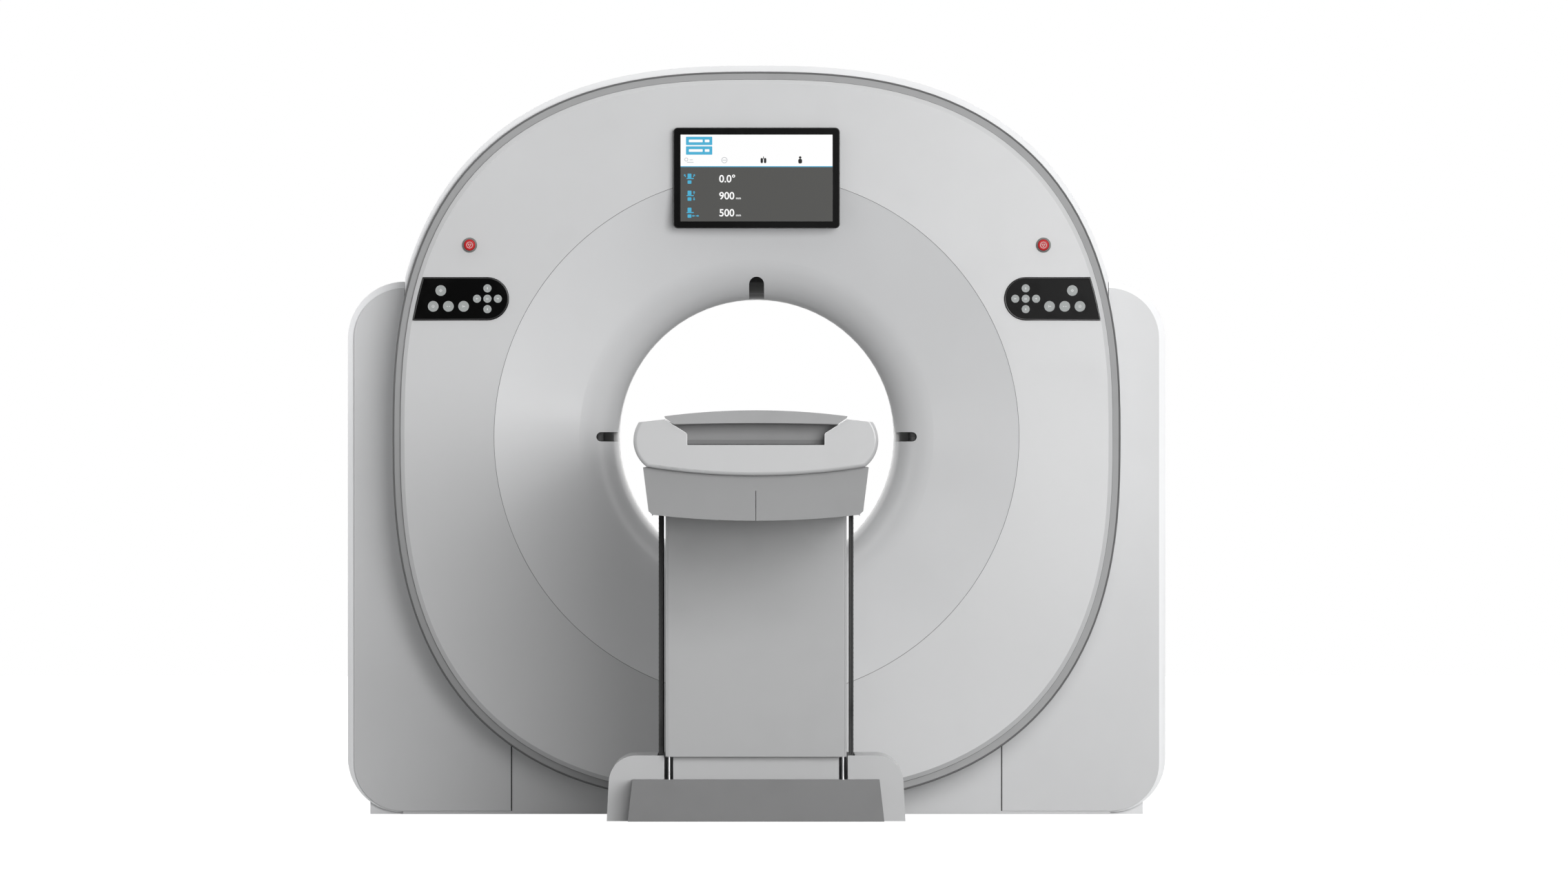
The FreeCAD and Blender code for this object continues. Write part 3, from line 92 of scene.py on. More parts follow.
def soft_box(name, place, target, size, power):
    lamp = bpy.data.lights.new(name, "AREA")
    lamp.shape = "RECTANGLE"
    lamp.size, lamp.size_y = size
    lamp.energy = power
    box = bpy.data.objects.new(name, lamp)
    bpy.context.scene.collection.objects.link(box)
    box.location = place
    box.rotation_euler = (Vector(target) - Vector(place)).to_track_quat("-Z", "Y").to_euler()
    return box


soft_box("key_box", (5.3, -19.0, 4.1), (0.0, -0.5, 0.9), (10.0, 7.4), 2020.0)
low_box = soft_box("low_box", (1.5, -15.0, 0.9), (0.0, -1.0, 0.6), (6.0, 1.4), 200.0)
low_box.visible_glossy = False
print("soft boxes", len(bpy.data.lights))


# %% Node helper and room
def add(tree, kind, inputs=None, **settings):
    """A new node; inputs maps its sockets to values or to the outputs that feed them."""
    node = tree.nodes.new(kind)
    for label, value in settings.items():
        setattr(node, label, value)
    for socket, value in (inputs or {}).items():
        if isinstance(value, bpy.types.NodeSocket):
            tree.links.new(value, node.inputs[socket])
        else:
            node.inputs[socket].default_value = value
    return node


room = bpy.data.worlds.new("white_room")
bpy.context.scene.world = room
room.use_nodes = True
room_tree = room.node_tree
backdrop = room_tree.nodes["Background"]
backdrop.inputs["Color"].default_value = (1, 1, 1, 1)
CAMERA_SIDE, WALLS = 0.17, 1.15

direction = add(room_tree, "ShaderNodeTexCoord").outputs["Generated"]
along_view = add(room_tree, "ShaderNodeSeparateXYZ", {0: direction}).outputs["Y"]
facing = add(room_tree, "ShaderNodeMapRange",
             {"Value": along_view, "From Min": -1.0, "From Max": 0.15,
              "To Min": CAMERA_SIDE, "To Max": WALLS}, interpolation_type="SMOOTHSTEP")
looked_at = add(room_tree, "ShaderNodeLightPath").outputs["Is Camera Ray"]
strength = add(room_tree, "ShaderNodeMapRange",
               {"Value": looked_at, "To Min": facing.outputs["Result"], "To Max": 1.0})
room_tree.links.new(strength.outputs["Result"], backdrop.inputs["Strength"])
print("room", CAMERA_SIDE, "to", WALLS)

# %% [markdown]
# ## Shared surface effects
# A moulded and painted cover is never one flat colour. Paint dries with a fine ripple, called
# orange peel, thick and thin places make soft clouds in its tone, and hands leave faint dull
# marks. Brushed steel has long fine streaks instead. Each effect is a node group with named
# inputs, built once and given its own sizes in every material. The groups only put out
# values, and the shader stays in the material.

# %% Node groups
def shader_group(name, inputs, outputs):
    tree = bpy.data.node_groups.new(name, "ShaderNodeTree")
    for label, kind, value in inputs:
        socket = tree.interface.new_socket(label, in_out="INPUT", socket_type=kind)
        if value is not None:
            socket.default_value = value
    for label in outputs:
        tree.interface.new_socket(label, in_out="OUTPUT", socket_type="NodeSocketFloat")
    return tree, add(tree, "NodeGroupInput").outputs, add(tree, "NodeGroupOutput").inputs


def noise_in(tree, vector, scale, detail, roughness=0.5):
    return add(tree, "ShaderNodeTexNoise",
               {"Vector": vector, "Scale": scale, "Detail": detail,
                "Roughness": roughness}).outputs["Fac"]


def spread_in(tree, value, low, high, to_low=0.0, to_high=1.0):
    return add(tree, "ShaderNodeMapRange",
               {"Value": value, "From Min": low, "From Max": high,
                "To Min": to_low, "To Max": to_high}).outputs["Result"]


def scaled_in(tree, vector, factor):
    return add(tree, "ShaderNodeVectorMath", {0: vector, 1: factor},
               operation="MULTIPLY").outputs["Vector"]


def maths(tree, operation, first, second=0.0):
    return add(tree, "ShaderNodeMath", {0: first, 1: second}, operation=operation).outputs[0]


# %% Moulded skin and drawn grain
VECTOR, FLOAT = "NodeSocketVector", "NodeSocketFloat"

moulded_skin, gin, gout = shader_group(
    "moulded_skin",
    [("Vector", VECTOR, None), ("Peel", FLOAT, 420.0), ("Cloud", FLOAT, 2.2),
     ("Marks", FLOAT, 9.0)],
    ["Height", "Tone", "Marks"])
peel = noise_in(moulded_skin, gin["Vector"], gin["Peel"], 2.0)
cloud = noise_in(moulded_skin, gin["Vector"], gin["Cloud"], 4.0)
marks = noise_in(moulded_skin, gin["Vector"], gin["Marks"], 8.0, 0.65)
moulded_skin.links.new(peel, gout["Height"])
moulded_skin.links.new(spread_in(moulded_skin, cloud, 0.3, 0.7), gout["Tone"])
moulded_skin.links.new(spread_in(moulded_skin, marks, 0.52, 0.72), gout["Marks"])

drawn_grain, gin, gout = shader_group(
    "drawn_grain",
    [("Vector", VECTOR, None), ("Stretch", VECTOR, (600.0, 600.0, 6.0)), ("Fineness", FLOAT, 1.0)],
    ["Height", "Streak"])
drawn = scaled_in(drawn_grain, gin["Vector"], gin["Stretch"])
streak = noise_in(drawn_grain, drawn, gin["Fineness"], 6.0, 0.7)
drawn_grain.links.new(streak, gout["Height"])
drawn_grain.links.new(spread_in(drawn_grain, streak, 0.3, 0.7), gout["Streak"])
print("groups", moulded_skin.name, drawn_grain.name)

# %% [markdown]
# ## Paints, metals and plastics
# One function makes every finish that has a skin: a light and a dark tone of the same colour,
# a low and a high roughness, and the size and height of its bumps. The tones are close
# together on clean paint and further apart on cast metal or rubber.

# %% Material maker
finishes = {}


def start_material(name):
    """A new material in the list of finishes, its tree, shader and Object coordinates."""
    material = finishes[name] = bpy.data.materials.new(name)
    material.use_nodes = True
    tree = material.node_tree
    place = add(tree, "ShaderNodeTexCoord").outputs["Object"]
    return material, tree, tree.nodes["Principled BSDF"], place


def effect(tree, group, place, **values):
    return add(tree, "ShaderNodeGroup", {"Vector": place, **values}, node_tree=group).outputs


def tune(shader, **values):
    """Set plain numbers on a shader; an underscore stands for a blank in a socket's name."""
    for label, value in values.items():
        shader.inputs[label.replace("_", " ")].default_value = value


def tint(colour):
    """A near-neutral grey for a plain number; a colour stays as it is."""
    return (colour, colour * 1.006, colour * 1.015) if isinstance(colour, float) else colour


def two_tone(tree, factor, light, dark, socket):
    mix = add(tree, "ShaderNodeMix", {"Factor": factor}, data_type="RGBA")
    for item in mix.inputs:
        if item.type == "RGBA" and item.name in "AB":
            item.default_value = (*tint(dark if item.name == "A" else light), 1)
    colour = next(out for out in mix.outputs if out.type == "RGBA")
    tree.links.new(colour, socket)


def bump(tree, height, depth, shader):
    node = add(tree, "ShaderNodeBump", {"Strength": 1.0, "Distance": depth, "Height": height})
    tree.links.new(node.outputs["Normal"], shader.inputs["Normal"])


def textured(name, group, tone, wear, sizes, light, dark, rough, depth, **plain):
    """A finish whose colour, roughness and bumps come from one effect group."""
    material, tree, shader, place = start_material(name)
    outs = effect(tree, group, place, **sizes)
    two_tone(tree, outs[tone], light, dark, shader.inputs["Base Color"])
    tree.links.new(spread_in(tree, outs[wear], 0.0, 1.0, *rough), shader.inputs["Roughness"])
    bump(tree, outs["Height"], depth, shader)
    tune(shader, **plain)
    return material


def skinned(name, light, dark, rough, peel=420.0, depth=0.00004, cloud=2.2, coat=0.0,
            coat_rough=0.1, shine=0.5):
    return textured(name, moulded_skin, "Tone", "Marks", {"Peel": peel, "Cloud": cloud}, light,
                    dark, rough, depth, Specular_IOR_Level=shine, Coat_Weight=coat,
                    Coat_Roughness=coat_rough)


def drawn_metal(name, light, dark, rough, stretch, depth=0.00003):
    return textured(name, drawn_grain, "Streak", "Streak", {"Stretch": stretch}, light, dark,
                    rough, depth, Metallic=1.0)


# %% Paints, plastics and rubber
skinned("cover_paint", 0.60, 0.57, (0.34, 0.44), coat=0.25)
skinned("white_paint", 0.86, 0.83, (0.32, 0.42), coat=0.2)
skinned("stand_paint", 0.61, 0.58, (0.36, 0.46), coat=0.2)
skinned("funnel_paint", 0.70, 0.675, (0.34, 0.44), coat=0.6, coat_rough=0.15)
skinned("trim_grey", 0.33, 0.30, (0.38, 0.48), peel=900.0)
skinned("frame_paint", 0.24, 0.20, (0.5, 0.62), peel=260.0, depth=0.0001, cloud=6.0)
skinned("plinth_paint", 0.84, 0.80, (0.42, 0.55), peel=300.0)
skinned("cast_frame", 0.30, 0.22, (0.55, 0.7), peel=160.0, depth=0.0004, cloud=9.0)
skinned("component_paint", (0.42, 0.44, 0.46), (0.36, 0.38, 0.40), (0.4, 0.55), peel=300.0,
        depth=0.0001)
skinned("slip_ring_resin", (0.16, 0.07, 0.03), (0.10, 0.045, 0.02), (0.3, 0.45), peel=500.0)
skinned("table_white", 0.455, 0.435, (0.30, 0.40), coat=0.3)
skinned("housing_grey", 0.24, 0.225, (0.36, 0.46), coat=0.2)
skinned("column_paint", 0.375, 0.36, (0.34, 0.46), coat=0.25)
skinned("base_paint", 0.46, 0.44, (0.34, 0.44), coat=0.25)
skinned("foot_grey", 0.16, 0.15, (0.36, 0.48), coat=0.2)
skinned("grip_grey", 0.31, 0.28, (0.42, 0.55), peel=1100.0, depth=0.00006)
skinned("skirt_black", 0.012, 0.007, (0.45, 0.6), peel=800.0)
skinned("panel_black", 0.002, 0.0015, (0.14, 0.22), peel=900.0, depth=0.000005, shine=0.05)
skinned("rim_black", 0.006, 0.004, (0.22, 0.3), peel=900.0, depth=0.00001, coat=0.3)
skinned("display_black", 0.002, 0.0015, (0.16, 0.24), peel=900.0, depth=0.000005, shine=0.05)
skinned("gasket_rubber", 0.05, 0.035, (0.55, 0.7), peel=700.0)
skinned("seal_grey", 0.135, 0.115, (0.5, 0.65), peel=700.0)
skinned("key_rim", (0.47, 0.49, 0.485), (0.43, 0.45, 0.445), (0.28, 0.4), peel=1500.0,
        depth=0.00001)
# Grip roll: a dark grey that is partly the soft-touch strip's own colour, partly painted shade.
skinned("grip_roll_shaded", 0.13, 0.11, (0.4, 0.5), peel=1100.0, depth=0.00006)
# Wiper lip: its darker grey is partly painted shade of the recess under the grip.
skinned("lip_rubber_shaded", 0.17, 0.155, (0.5, 0.6), peel=900.0)
# Board end cap: its dark grey is partly painted shade of the recess under the grip.
skinned("board_cap_shaded", 0.215, 0.20, (0.42, 0.55), peel=900.0)
# Print on keys and stops; on the cut edges of the end cap its whiteness is a painted highlight.
skinned("print_and_highlight_white", 0.72, 0.66, (0.4, 0.5), peel=2000.0, depth=0.00001)
skinned("key_grey", (0.33, 0.35, 0.345), (0.29, 0.31, 0.305), (0.32, 0.42), peel=1500.0,
        depth=0.00001)
skinned("stop_red", (0.56, 0.006, 0.010), (0.46, 0.004, 0.007), (0.3, 0.4), peel=1200.0,
        depth=0.00001, shine=0.25)
skinned("collar_grey", (0.23, 0.235, 0.225), (0.20, 0.205, 0.195), (0.3, 0.42), peel=1200.0)
print("skinned finishes", len(finishes))

# %% Metals
drawn_metal("support_alloy", 0.62, 0.5, (0.32, 0.46), (300.0, 5.0, 300.0))
drawn_metal("machined_steel", 0.58, 0.46, (0.25, 0.4), (700.0, 20.0, 20.0))
drawn_metal("rotor_metal", 0.55, 0.42, (0.3, 0.5), (40.0, 500.0, 40.0))
drawn_metal("chrome_rod", 0.86, 0.80, (0.06, 0.12), (500.0, 500.0, 3.0), 0.000005)
print("finishes", len(finishes))

# %% [markdown]
# ### Woven board, tunnel film and dark windows
# The sliding board is carbon fibre under clear resin: a fine over-and-under weave that is
# nearly black, with a glossy coat. Two crossed waves make the weave, and each leans into the
# height as well, so that upright faces show strands too. The scan window is a thin milky film
# that X-rays pass through, and the laser windows are dark tinted acrylic.

# %% Woven and clear materials
weave, gin, gout = shader_group(
    "weave", [("Vector", VECTOR, None), ("Pitch", VECTOR, (1600.0, 1600.0, 1600.0))],
    ["Height", "Strand"])
split = add(weave, "ShaderNodeSeparateXYZ",
            {0: scaled_in(weave, gin["Vector"], gin["Pitch"])}).outputs
waves = [maths(weave, "SINE", maths(weave, "ADD", split[axis], split["Z"])) for axis in "XY"]
crossed = maths(weave, "MULTIPLY", *waves)
weave.links.new(crossed, gout["Height"])
weave.links.new(spread_in(weave, crossed, -0.6, 0.6), gout["Strand"])


def woven(name, light, dark, pitch, depth, rough, coat=0.0, sheen=0.0):
    return textured(name, weave, "Strand", "Strand", {"Pitch": (pitch, pitch, pitch)}, light,
                    dark, rough, depth, Coat_Weight=coat, Sheen_Weight=sheen)


def film(name, light, dark, rough, through):
    material = skinned(name, light, dark, rough, peel=60.0, depth=0.00001, coat=0.5)
    tune(material.node_tree.nodes["Principled BSDF"], Transmission_Weight=through)


woven("carbon_board", 0.045, 0.018, 1600.0, 0.0001, (0.3, 0.45), coat=0.6)
film("window_film", (0.80, 0.80, 0.77), (0.76, 0.76, 0.73), (0.2, 0.3), 0.15)
film("laser_dark", 0.004, 0.003, (0.12, 0.2), 0.0)
film("display_glass", 0.02, 0.016, (0.06, 0.1), 0.0)
print("woven and clear finishes", len(finishes))

# %% [markdown]
# ### Which part wears which finish
# A CAD part comes with a plain slot colour. Each gets the finish of the real piece instead, by
# one list from finish to parts. A list shows at a glance what shares a paint and what is left.

# %% Give every CAD part its finish
FINISH_OF = {
    "cover_paint": ["front_cover", "rear_cover"],
    "funnel_paint": ["front_funnel"],
    "white_paint": ["outer_shell", "side_covers"],
    "stand_paint": ["wing_plates", "base_covers"],
    "trim_grey": ["trim_bands"],
    "frame_paint": ["tilt_drive", "table_base_frame", "column_frame"],
    "plinth_paint": ["gantry_stand"],
    "cast_frame": ["tilt_frame", "balance_weights"],
    "component_paint": ["xray_tube", "detector_arc", "hv_generator", "cradle_drive"],
    "slip_ring_resin": ["slip_ring", "brush_block"],
    "rotor_metal": ["rotor_drum"],
    "machined_steel": ["bearing_and_stator"],
    "window_film": ["scan_window"],
    "laser_dark": ["laser_windows"],
    "display_black": ["display_housing"],
    "display_glass": ["display_screen"],
    "panel_black": ["control_bezels"],
    "table_white": ["end_cap", "side_rails"],
    "housing_grey": ["housing_halves"],
    "column_paint": ["column_panels"],
    "base_paint": ["hump_cover"],
    "foot_grey": ["foot_box"],
    "skirt_black": ["column_skirts"],
    "chrome_rod": ["lift_guides", "lift_rods"],
    "support_alloy": ["support_frame"],
    "carbon_board": ["cradle"],
    "grip_grey": ["cradle_grip"],
    "key_grey": [name for name in parts if name.startswith("key_")],
    "stop_red": [name for name in parts if name.startswith("estop_")],
}


def dress(piece, material):
    piece.data.materials.clear()
    piece.data.materials.append(material)


bare = set(parts)
for finish, names in FINISH_OF.items():
    for name in names:
        dress(parts[name], finishes[finish])
        bare.discard(name)
print("parts without a finish", sorted(bare))

# %% [markdown]
# ## The floor
# A pale studio floor. It gives out a little light of its own, so that it stays near white
# under the scanner and only a faint contact shadow is left.

# %% Floor
FLOOR_REACH, FLOOR_SEEN, FLOOR_LIGHT = 60.0, 0.96, 0.10
floor_mesh = bpy.data.meshes.new("floor")
floor_mesh.from_pydata([(x * FLOOR_REACH, y * FLOOR_REACH, 0)
                        for x, y in ((-1, -1), (1, -1), (1, 1), (-1, 1))], [], [(0, 1, 2, 3)])
floor = bpy.data.objects.new("floor", floor_mesh)
bpy.context.scene.collection.objects.link(floor)
floor_paint = skinned("floor_paint", 0.16, 0.155, (0.7, 0.8), peel=40.0)
floor_tree = floor_paint.node_tree
floor_shader = floor_tree.nodes["Principled BSDF"]
tune(floor_shader, Emission_Color=(1, 1, 1, 1))
seen = add(floor_tree, "ShaderNodeLightPath").outputs["Is Camera Ray"]
floor_tree.links.new(spread_in(floor_tree, seen, 0.0, 1.0, FLOOR_LIGHT, FLOOR_SEEN),
                     floor_shader.inputs["Emission Strength"])
dress(floor, floor_paint)
print("floor", 2 * FLOOR_REACH, "m across")

# %% [markdown]
# ## Tools for the detail pieces
# Most of the small parts either follow an edge of a CAD part, such as a gasket or a rim, or
# are thin flat marks. The edge is read from the CAD mesh itself: the faces that look one way
# at one depth are a flat region, and the edges round that region are its outline. A Geometry
# Nodes tree then sweeps a round profile along it, so the bead can't miss its part.

# %% Read outlines from the CAD parts
MM = 0.001


def outlines(node, y=None):
    """Closed loops, longest first, round a part's flat front, or its flat faces at depth y."""
    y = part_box(node)[0].y if y is None else y
    copy = bmesh.new()
    copy.from_mesh(parts[node].data)
    bmesh.ops.remove_doubles(copy, verts=copy.verts, dist=0.01 * MM)
    flat = [face for face in copy.faces if face.normal.y < -0.99
            and abs(face.calc_center_median().y - y) < 0.1 * MM]
    inside = set(flat)
    links = {}
    for face in flat:
        for loop in face.loops:
            if sum(other in inside for other in loop.edge.link_faces) == 1:
                start, end = loop.vert, loop.link_loop_next.vert
                links.setdefault(start.index, []).append((end.index, start.co.copy()))
    loops = []
    while links:
        first = here = next(iter(links))
        points = []
        while here in links:
            step, place = links[here].pop()
            if not links[here]:
                del links[here]
            points.append(place)
            here = step
            if here == first:
                break
        loops.append(points)
    copy.free()
    loops.sort(key=lambda points: -sum((a - b).length
                                       for a, b in zip(points, points[1:] + points[:1])))
    return loops


trim_front = outlines("trim_bands")
print("trim outlines", [len(points) for points in trim_front[:4]])

# %% [markdown]
# ## Beads: gaskets, rims and soft edges
# A rubber gasket closes each joint between two covers, and a glossy rim edges each black
# panel. All are one round bar bent along a line, so one tree makes them: the line is turned
# into a curve, cut into equal steps and swept with a circle.

# %% The bead tree
def geometry_tree(name, inputs):
    tree = bpy.data.node_groups.new(name, "GeometryNodeTree")
    tree.interface.new_socket("Geometry", in_out="INPUT", socket_type="NodeSocketGeometry")
    for label, kind, value in inputs:
        socket = tree.interface.new_socket(label, in_out="INPUT", socket_type=kind)
        if value is not None:
            socket.default_value = value
    tree.interface.new_socket("Geometry", in_out="OUTPUT", socket_type="NodeSocketGeometry")
    return tree, add(tree, "NodeGroupInput").outputs, add(tree, "NodeGroupOutput").inputs


def finish_tree(tree, shape, material, result):
    """Realize and colour what a tree made: its last two nodes."""
    real = add(tree, "GeometryNodeRealizeInstances", {0: shape})
    paint = add(tree, "GeometryNodeSetMaterial",
                {"Geometry": real.outputs[0], "Material": material})
    tree.links.new(paint.outputs[0], result)


LENGTH, COUNT, STUFF = "NodeSocketFloat", "NodeSocketInt", "NodeSocketMaterial"
bead_tree, bead_in, bead_out = geometry_tree(
    "bead", [("Radius", LENGTH, 0.001), ("Step", LENGTH, 0.004), ("Sides", COUNT, 8),
             ("Material", STUFF, None)])
line = add(bead_tree, "GeometryNodeMeshToCurve", {"Mesh": bead_in["Geometry"]})
steps = add(bead_tree, "GeometryNodeResampleCurve",
            {"Curve": line.outputs[0], "Length": bead_in["Step"]}, mode="LENGTH")
circle = add(bead_tree, "GeometryNodeCurvePrimitiveCircle",
             {"Resolution": bead_in["Sides"], "Radius": bead_in["Radius"]})
sweep = add(bead_tree, "GeometryNodeCurveToMesh",
            {"Curve": steps.outputs[0], "Profile Curve": circle.outputs[0], "Fill Caps": True})
finish_tree(bead_tree, sweep.outputs[0], bead_in["Material"], bead_out[0])
print("tree", bead_tree.name)

# %% Grow a piece from a tree
made = []


def mesh_from(name, shape):
    """Move a bmesh into a new mesh."""
    mesh = bpy.data.meshes.new(name)
    shape.to_mesh(mesh)
    shape.free()
    return mesh


def settle(name, mesh, finish, body):
    """Give a new mesh its outward faces, finish and body, and list it."""
    shape = bmesh.new()
    shape.from_mesh(mesh)
    bmesh.ops.recalc_face_normals(shape, faces=shape.faces)
    shape.to_mesh(mesh)
    shape.free()
    piece = bpy.data.objects.new(name, mesh)
    bpy.context.scene.collection.objects.link(piece)
    dress(piece, finishes[finish])
    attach(piece, body)
    made.append((name, len(mesh.polygons)))
    return piece


def grow(name, seed_mesh, tree, finish, body, slot, smooth=True, **sizes):
    """Run a tree on a seed mesh and keep the result as one plain mesh."""
    seed = bpy.data.objects.new(name + "_seed", seed_mesh)
    bpy.context.scene.collection.objects.link(seed)
    modifier = seed.modifiers.new("grow", "NODES")
    modifier.node_group = tree
    sizes["Material"] = finishes[finish]
    for item in tree.interface.items_tree:
        if item.in_out == "INPUT" and item.name in sizes:
            modifier[item.identifier] = sizes[item.name]
    grown = seed.evaluated_get(bpy.context.evaluated_depsgraph_get())
    mesh = bpy.data.meshes.new_from_object(grown)
    bpy.data.objects.remove(seed)
    if smooth:
        mesh.shade_smooth()
    else:
        mesh.shade_flat()
    return settle(name, mesh, finish, body)


def lines_mesh(name, lines):
    """One mesh of bare edges from (points, closed) lines."""
    places, edges = [], []
    for points, closed in lines:
        start, count = len(places), len(points)
        places += [tuple(point) for point in points]
        edges += [(start + i, start + i + 1) for i in range(count - 1)]
        if closed:
            edges.append((start + count - 1, start))
    mesh = bpy.data.meshes.new(name)
    mesh.from_pydata(places, edges, [])
    return mesh


def bead(name, lines, radius, finish, body, slot, step=4 * MM, sides=8):
    return grow(name, lines_mesh(name, lines), bead_tree, finish, body, slot,
                Radius=radius, Step=step, Sides=sides)


def at_depth(points, y):
    return [Vector((point.x, y, point.z)) for point in points]


def disc(x, z, radius, count=24):
    return [(x + radius * cos(2 * pi * i / count), z + radius * sin(2 * pi * i / count))
            for i in range(count)]


# %% Gaskets round the gantry covers
SEAM_RADIUS = 0.667
trim_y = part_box("trim_bands")[0].y
outer, inner = trim_front[:2]
seam_ring = [Vector((x, 0, z)) for x, z in disc(0.0, ISO_Z, SEAM_RADIUS - 0.3 * MM, 180)]
for name, points, y, radius, step in (
        ("trim_outer_gasket", outer, trim_y + 1.2 * MM, 2.6 * MM, 4 * MM),
        ("trim_inner_gasket", inner, trim_y + 0.4 * MM, 0.9 * MM, 4 * MM),
        ("funnel_seam_gasket", seam_ring, FACE_Y + 0.5 * MM, 0.7 * MM, 12 * MM),
        ("rear_trim_gasket", outer, -trim_y - 1.2 * MM, 2.6 * MM, 4 * MM),
        ("rear_seam_gasket", seam_ring, -FACE_Y - 0.75 * MM, 0.7 * MM, 12 * MM)):
    bead(name, [(at_depth(points, y), True)], radius, "seal_grey", "gantry", "trim_grey", step)
print("gaskets", made[-5:])

# %% [markdown]
# ## Flat marks
# The signs on the keys and the drawings on the display are printed films a tenth of a
# millimetre thick. Each is a flat outline with a thickness, because a bare face with no back
# is not a closed shape. Rings, discs and bars are drawn from a few numbers.

# %% Shapes for marks
FILM = 0.12 * MM


def bar(x, z, width, height, corner=0.0, count=4):
    if corner <= 0:
        return [(x + a * width / 2, z + b * height / 2)
                for a, b in ((-1, -1), (1, -1), (1, 1), (-1, 1))]
    outline = []
    for turn, (sx, sz) in enumerate(((1, 1), (-1, 1), (-1, -1), (1, -1))):
        cx, cz = x + sx * (width / 2 - corner), z + sz * (height / 2 - corner)
        for i in range(count + 1):
            angle = (turn + i / count) * pi / 2
            outline.append((cx + corner * cos(angle), cz + corner * sin(angle)))
    return outline


def arrow(x, z, size, angle, stem=0.9):
    head = [(0.0, 1.0), (-0.75, 0.1), (-0.25, 0.1), (-0.25, -stem), (0.25, -stem),
            (0.25, 0.1), (0.75, 0.1)]
    turn_x, turn_z = cos(angle), sin(angle)
    return [(x + size * (a * turn_x - b * turn_z), z + size * (a * turn_z + b * turn_x))
            for a, b in head]


def band(outside, inside):
    """A closed band between two outlines of equal length."""
    return ("band", outside, inside)


def tyre(shape, rings):
    """Join (outline, depth) rings of equal length into a closed tyre."""
    rows = [[shape.verts.new((x, y, z)) for x, z in ring] for ring, y in rings]
    for a, b in zip(rows, rows[1:] + rows[:1]):
        for i in range(len(a)):
            j = (i + 1) % len(a)
            shape.faces.new((a[i], a[j], b[j], b[i]))


def flat_mesh(name, shapes, y, thickness=FILM):
    """Closed thin plates in the upright plane: y is the face towards the viewer."""
    shape = bmesh.new()
    for outline in shapes:
        if outline[0] == "band":
            _, outside, inside = outline
            tyre(shape, ((outside, y), (inside, y), (inside, y + thickness),
                         (outside, y + thickness)))
            continue
        near = [shape.verts.new((x, y, z)) for x, z in outline]
        far = [shape.verts.new((x, y + thickness, z)) for x, z in outline]
        shape.faces.new(near)
        shape.faces.new(far[::-1])
        for i in range(len(near)):
            j = (i + 1) % len(near)
            shape.faces.new((near[j], near[i], far[i], far[j]))
    return mesh_from(name, shape)


def mark(name, shapes, y, finish, body):
    return settle(name, flat_mesh(name, shapes, y), finish, body)


print("film", FILM)

# %% [markdown]
# ## The display
# The gantry display shows the table height, the table travel and the tilt. It lights itself,
# so its picture is made of glowing films: a white head band, a cyan rule, a dark field with
# three numbers, and small signs. A liquid-crystal panel has a grid of picture cells that a
# close look shows, and a node group darkens the lines between them. The head band's two
# name boxes hold bars instead of words.

# %% Lit finishes
CELL_PITCH = (2200.0, 0.0, 2200.0)
cell_grid, gin, gout = shader_group(
    "cell_grid", [("Vector", VECTOR, None), ("Pitch", VECTOR, CELL_PITCH)], ["Cell"])
split = add(cell_grid, "ShaderNodeSeparateXYZ",
            {0: scaled_in(cell_grid, gin["Vector"], gin["Pitch"])}).outputs
narrow = maths(cell_grid, "MINIMUM", *(maths(cell_grid, "FRACT", split[axis]) for axis in "XZ"))
cell_grid.links.new(spread_in(cell_grid, narrow, 0.05, 0.15), gout["Cell"])


def lit(name, colour, between):
    _, tree, shader, place = start_material(name)
    cells = effect(tree, cell_grid, place, Pitch=CELL_PITCH)
    two_tone(tree, cells["Cell"], colour, between, shader.inputs["Emission Color"])
    tune(shader, Emission_Strength=1.0, Base_Color=(0.01, 0.01, 0.01, 1), Roughness=0.25,
         Specular_IOR_Level=0.1)


lit("lit_white", (0.98, 0.98, 0.98), (0.92, 0.92, 0.92))
lit("lit_cyan", (0.06, 0.43, 0.66), (0.05, 0.36, 0.56))
lit("lit_slate", (0.072, 0.072, 0.068), (0.06, 0.06, 0.057))
lit("lit_black", (0.004, 0.004, 0.004), (0.003, 0.003, 0.003))
lit("lit_pale", (0.52, 0.54, 0.56), (0.48, 0.50, 0.52))
print("lit finishes", sum(name.startswith("lit_") for name in finishes))

# %% Display picture
screen_low, screen_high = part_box("display_screen")
glass_y = screen_low.y
screen_w, screen_h = screen_high.x - screen_low.x, screen_high.z - screen_low.z


def on_screen(across, down):
    return screen_low.x + across * screen_w, screen_high.z - down * screen_h


def screen_mark(name, shapes, layer, finish):
    return mark(name, shapes, glass_y - layer * FILM, finish, "gantry")


HEAD_SHARE, DARK_EDGE = 0.365, 1.5 * MM
lit_width = screen_w - 2 * DARK_EDGE
x, z = on_screen(0.5, HEAD_SHARE / 2)
head = bar(x, z - DARK_EDGE / 4, lit_width, HEAD_SHARE * screen_h - DARK_EDGE / 2)
screen_mark("screen_head", [head], 1, "lit_white")
x, z = on_screen(0.5, (1 + HEAD_SHARE) / 2)
field = bar(x, z + DARK_EDGE / 4, lit_width, (1 - HEAD_SHARE) * screen_h - DARK_EDGE / 2)
screen_mark("screen_field", [field], 1, "lit_slate")
x, z = on_screen(0.5, HEAD_SHARE + 0.004)
screen_mark("screen_rule", [bar(x, z, lit_width, 2.2 * MM)], 2, "lit_cyan")

boxes, bars = [], []
for down in (0.075, 0.185):
    x, z = on_screen(0.125, down)
    boxes.append(bar(x, z, 0.172 * screen_w, 0.096 * screen_h, 1.5 * MM))
    bars.append(bar(x - 0.022 * screen_w, z, 0.09 * screen_w, 0.03 * screen_h, 1.2 * MM))
    bars.append(bar(x + 0.052 * screen_w, z, 0.03 * screen_w, 0.03 * screen_h, 1.2 * MM))
screen_mark("screen_name_boxes", boxes, 2, "lit_cyan")
screen_mark("screen_name_bars", bars, 3, "lit_white")
print("display", round(screen_w, 4), "by", round(screen_h, 4), "m")

